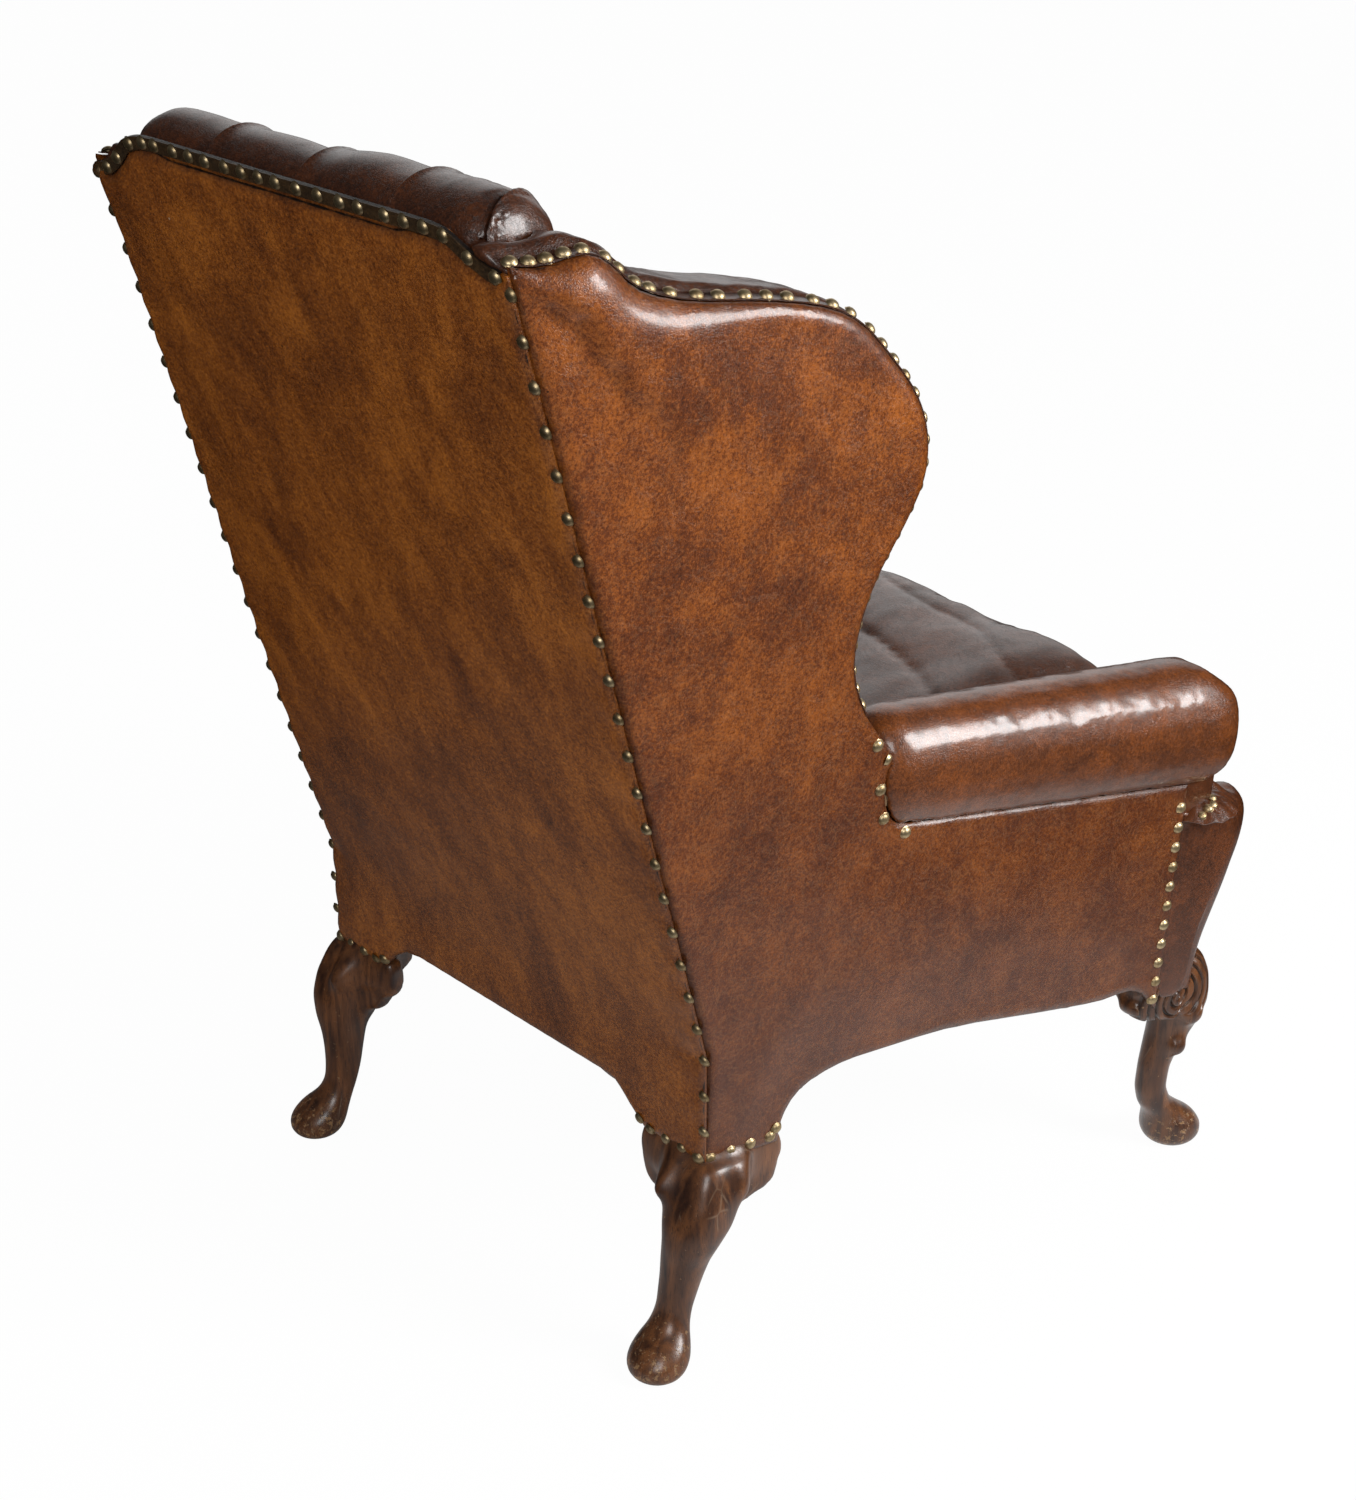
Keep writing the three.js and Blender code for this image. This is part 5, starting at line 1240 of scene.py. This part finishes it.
# %% Nails down the back corners
back_tree = tree_of(back)
corner_x = 0.291
knee_inset = 0.0055
side_inset = 0.008
for side, sign in both_sides:
    low_end = (sign * corner_x, rear, 0.222)
    high_end = (sign * corner_x, rear + 0.205, 1.112)
    path = stretch(back_rim, low_end, high_end, (sign * corner_x, rear + 0.1, 0.7))
    nail_row(f"nails_back_corner_{side}", [(point + Vector((sign * 0.0005, 0.0012, 0)), back_outward)
                                           for point, _ in spaced(path, 23, 0.036, 0.010)])
    knee = stretch(back_rim, low_end, (sign * 0.205, rear, 0.232), (sign * 0.25, rear, 0.222))
    nail_row(f"nails_back_knee_{side}", on_panel(knee, 5, knee_inset, back_outward, back_tree, 0.005))
print("corner nails ready")

# %% Nails on the sides
ring = ((0.377, -0.3526), (0.386, -0.3560), (0.395, -0.3580), (0.404, -0.3560), (0.413, -0.3530), (0.4195, -0.3460),
        (0.4205, -0.3370), (0.4200, -0.3280))
for side, sign in both_sides:
    outward = side_outward[side]
    tree = tree_of(side_pieces[side])
    rim = side_rims[side]
    knee = stretch(rim, (sign * 0.285, rear - 0.004, 0.218), (sign * 0.306, rear - 0.102, 0.230),
                   (sign * 0.29, rear - 0.045, 0.218))
    nail_row(f"nails_side_knee_{side}", on_panel(knee, 5, knee_inset, outward, tree, 0.006))
    front = stretch(rim, (sign * 0.396, rear - 0.554, 0.219), (sign * 0.408, rear - 0.554, 0.462),
                    (sign * 0.4, rear - 0.548, 0.34))
    nail_row(f"nails_side_front_{side}", on_panel(smooth_path(front), 11, side_inset, outward, tree, 0.006, 0.006))
    behind_roll = stretch(rim, (sign * 0.34, rear - 0.166, 0.636), (sign * 0.342, rear - 0.206, 0.531),
                          (sign * 0.34, rear - 0.184, 0.585))
    nail_row(f"nails_behind_roll_{side}", on_panel(smooth_path(behind_roll), 5, side_inset, outward, tree, 0.006))
    cap_tree = tree_of(caps[side])
    nail_row(f"nails_corner_top_{side}", [dropped(cap_tree, (sign * x, y, 0.475), (0, 0, -1), 0.05)
                                          for x, y in ring], 0.8)
print("side nails ready")

# %% [markdown]
# ## Bands
# Strips of leather cover the raw edges along the top rail and round the wings, and nails hold them down. A strip
# is a row of edges that is extruded again and again across its width, and then given a thickness.

# %% Band helper
def band(name, path, first, second, width, depth, material, lift=0.0012):
    """A folded strip of leather along a path: width along first, then depth along second, both given per point."""
    body = bmesh.new()
    rows = [[point + a * width * share for point, a in zip(path, first)] for share in (1.0, 0.66, 0.33, 0.0)]
    rows += [[point + b * depth * share for point, b in zip(path, second)] for share in (0.33, 0.66, 1.0)]
    verts = [body.verts.new(point) for point in rows[0]]
    edges = [body.edges.new(pair) for pair in zip(verts, verts[1:])]
    for last_row, row in zip(rows, rows[1:]):
        made = bmesh.ops.extrude_edge_only(body, edges=edges)["geom"]
        fresh = {item for item in made if isinstance(item, bmesh.types.BMVert)}
        for vert in fresh:
            index = min(range(len(last_row)), key=lambda i: (last_row[i] - vert.co).length)
            vert.co = row[index]
        edges = [item for item in made if isinstance(item, bmesh.types.BMEdge) and len(item.link_faces) == 1
                 and set(item.verts) <= fresh]
    bmesh.ops.recalc_face_normals(body, faces=body.faces)
    bmesh.ops.solidify(body, geom=body.faces, thickness=lift)
    bmesh.ops.recalc_face_normals(body, faces=body.faces)
    piece = link(name, mesh_from(body, name))
    mark(piece, "seam", [0.0] * len(piece.data.vertices))
    return dress(piece, material, "chair", angle=math.radians(40))


def directions(path):
    """The direction of a path at each of its points."""
    return [(after - before).normalized() for before, after in zip([path[0], *path[:-1]], [*path[1:], path[-1]])]


print("band helper ready")

# %% Band and nails along the top rail
top_nails = (0.289, 0.268, 0.247, 0.222, 0.197, 0.175, 0.148, 0.120, 0.096, 0.069, 0.046, 0.020, -0.005, -0.035,
             -0.066, -0.093, -0.120, -0.150, -0.176, -0.201, -0.226, -0.253, -0.278)
top_path = smooth_path(stretch(back_rim, (0.284, rear + 0.205, 1.114), (-0.284, rear + 0.205, 1.114),
                               (0.0, rear + 0.214, 1.143)))
top_path = [point for point, _ in spaced(top_path, 120)]
down = [back_outward.cross(along).normalized() for along in directions(top_path)]
down = [inward if inward.z < 0 else -inward for inward in down]
raised = [point + back_outward * 0.0022 - inward * 0.0010 for point, inward in zip(top_path, down)]
top_band = band("top_rail_band", raised, down, [-back_outward] * len(raised), 0.0125, 0.004, band_olive)
tree = finder(raised)
sunk = np.array([(tree.find(point)[0] - Vector(point)).dot(back_outward) for point in points_of(top_band)])
mark(top_band, "seam", ease(sunk, 0.0005, 0.001))
band_tree = tree_of(top_band)
places = []
for x in top_nails:
    i = min(range(len(raised)), key=lambda k: abs(raised[k].x - x))
    places.append(dropped(band_tree, raised[i] + down[i] * 0.0058, -back_outward, 0.02))
nail_row("nails_top_rail", places, 1.04)
print("top rail ready")

# %% Bands and nails along the wings
nail_steps = (0.014, 0.015, 0.016, 0.019, 0.017, 0.016, 0.020, 0.018, 0.022, 0.023, 0.022, 0.023, 0.022, 0.021,
              0.023, 0.021, 0.025, 0.022, 0.021, 0.021, 0.022, 0.023)


def ramp(value):
    return min(max(value, 0), 1)


for side, sign in both_sides:
    outward = side_outward[side]
    wing_path = stretch(side_rims[side], (sign * 0.291, rear + 0.203, 1.120), (sign * 0.338, rear - 0.155, 0.655),
                        (sign * 0.345, rear - 0.1, 1.035))
    wing_path = [point for point, _ in spaced(smooth_path(wing_path), 150)]
    ahead = [along.cross(outward).normalized() for along in directions(wing_path)]
    if ahead[len(ahead) // 2].dot(Vector((0, -1, 0.3))) < 0:
        ahead = [-one for one in ahead]
    edge_line = [point + one * 0.0022 - outward * 0.002 for point, one in zip(wing_path, ahead)]
    band(f"wing_edge_band_{side}", edge_line, [outward] * len(edge_line), [-outward] * len(edge_line), 0.0005, 0.016,
         dark_brown)

    lining = linings[f"wing_lining_{side}"]
    points = points_of(lining)
    tree = finder([(0, point.y, point.z) for point in wing_path])
    pushed = []
    for point in points:
        _, i, gap = tree.find((0, point[1], point[2]))
        inside_by = (wing_path[i] - Vector(point)).dot(outward)
        fuller = 0.0085 + 0.0055 * ramp((point[1] - 0.20) / 0.1)
        pushed.append(ahead[i] * fuller * (ramp((inside_by - 0.013) / 0.010) * ramp((0.035 - gap) / 0.02)))
    put_points(lining, lowered_corner(points + np.array(pushed)))

    gone = np.cumsum([0.0] + [(b - a).length for a, b in zip(edge_line, edge_line[1:])])
    marks = list(0.006 + np.cumsum([0.0, *nail_steps]))
    while marks[-1] < gone[-1] - 0.03:
        marks.append(marks[-1] + 0.022)
    nearest = [int(np.abs(gone - value).argmin()) for value in marks]
    nail_row(f"nails_wing_edge_{side}", [(edge_line[i] - outward * 0.0055 + ahead[i] * 0.0018,
                                          (ahead[i] * 0.9 + outward * 0.42).normalized()) for i in nearest], 0.98)
print("wing bands ready")

# %% [markdown]
# ## Buttons
# The inside back is buttoned in staggered rows. A ray from the seat finds the leather at each place, and a small
# covered button is turned to face out of it. A place beside the leather is left out.

# %% Buttons
def button(radius=0.011, rise=0.006):
    body = spun([(0.0, rise), (0.5 * radius, 0.86 * rise), (0.85 * radius, 0.45 * rise), (radius, -0.1 * rise),
                 (0.8 * radius, -0.5 * rise)], 14)
    bmesh.ops.recalc_face_normals(body, faces=body.faces)
    return body


inside_tree = tree_of(inside)
for row in range(6):
    for step in range(-2, 3):
        x = 0.132 * (step + 0.5 * (row % 2))
        if abs(x) > 0.211:
            continue
        place, facing = dropped(inside_tree, (x, 0.2, 1.045 - 0.11 * row), (0, 1, 0), 0.35)
        if facing.y > -0.3:
            continue
        body = button()
        turn = Vector(facing).to_track_quat("Z", "Y").to_matrix().to_4x4()
        bmesh.ops.transform(body, matrix=Matrix.Translation(place) @ turn, verts=body.verts)
        piece = link(f"button_{row + 1}_{step + 3}", mesh_from(body, "button"))
        mark(piece, "seam", [0.0] * len(piece.data.vertices))
        dress(piece, dark_brown, "chair")
print("buttons ready")
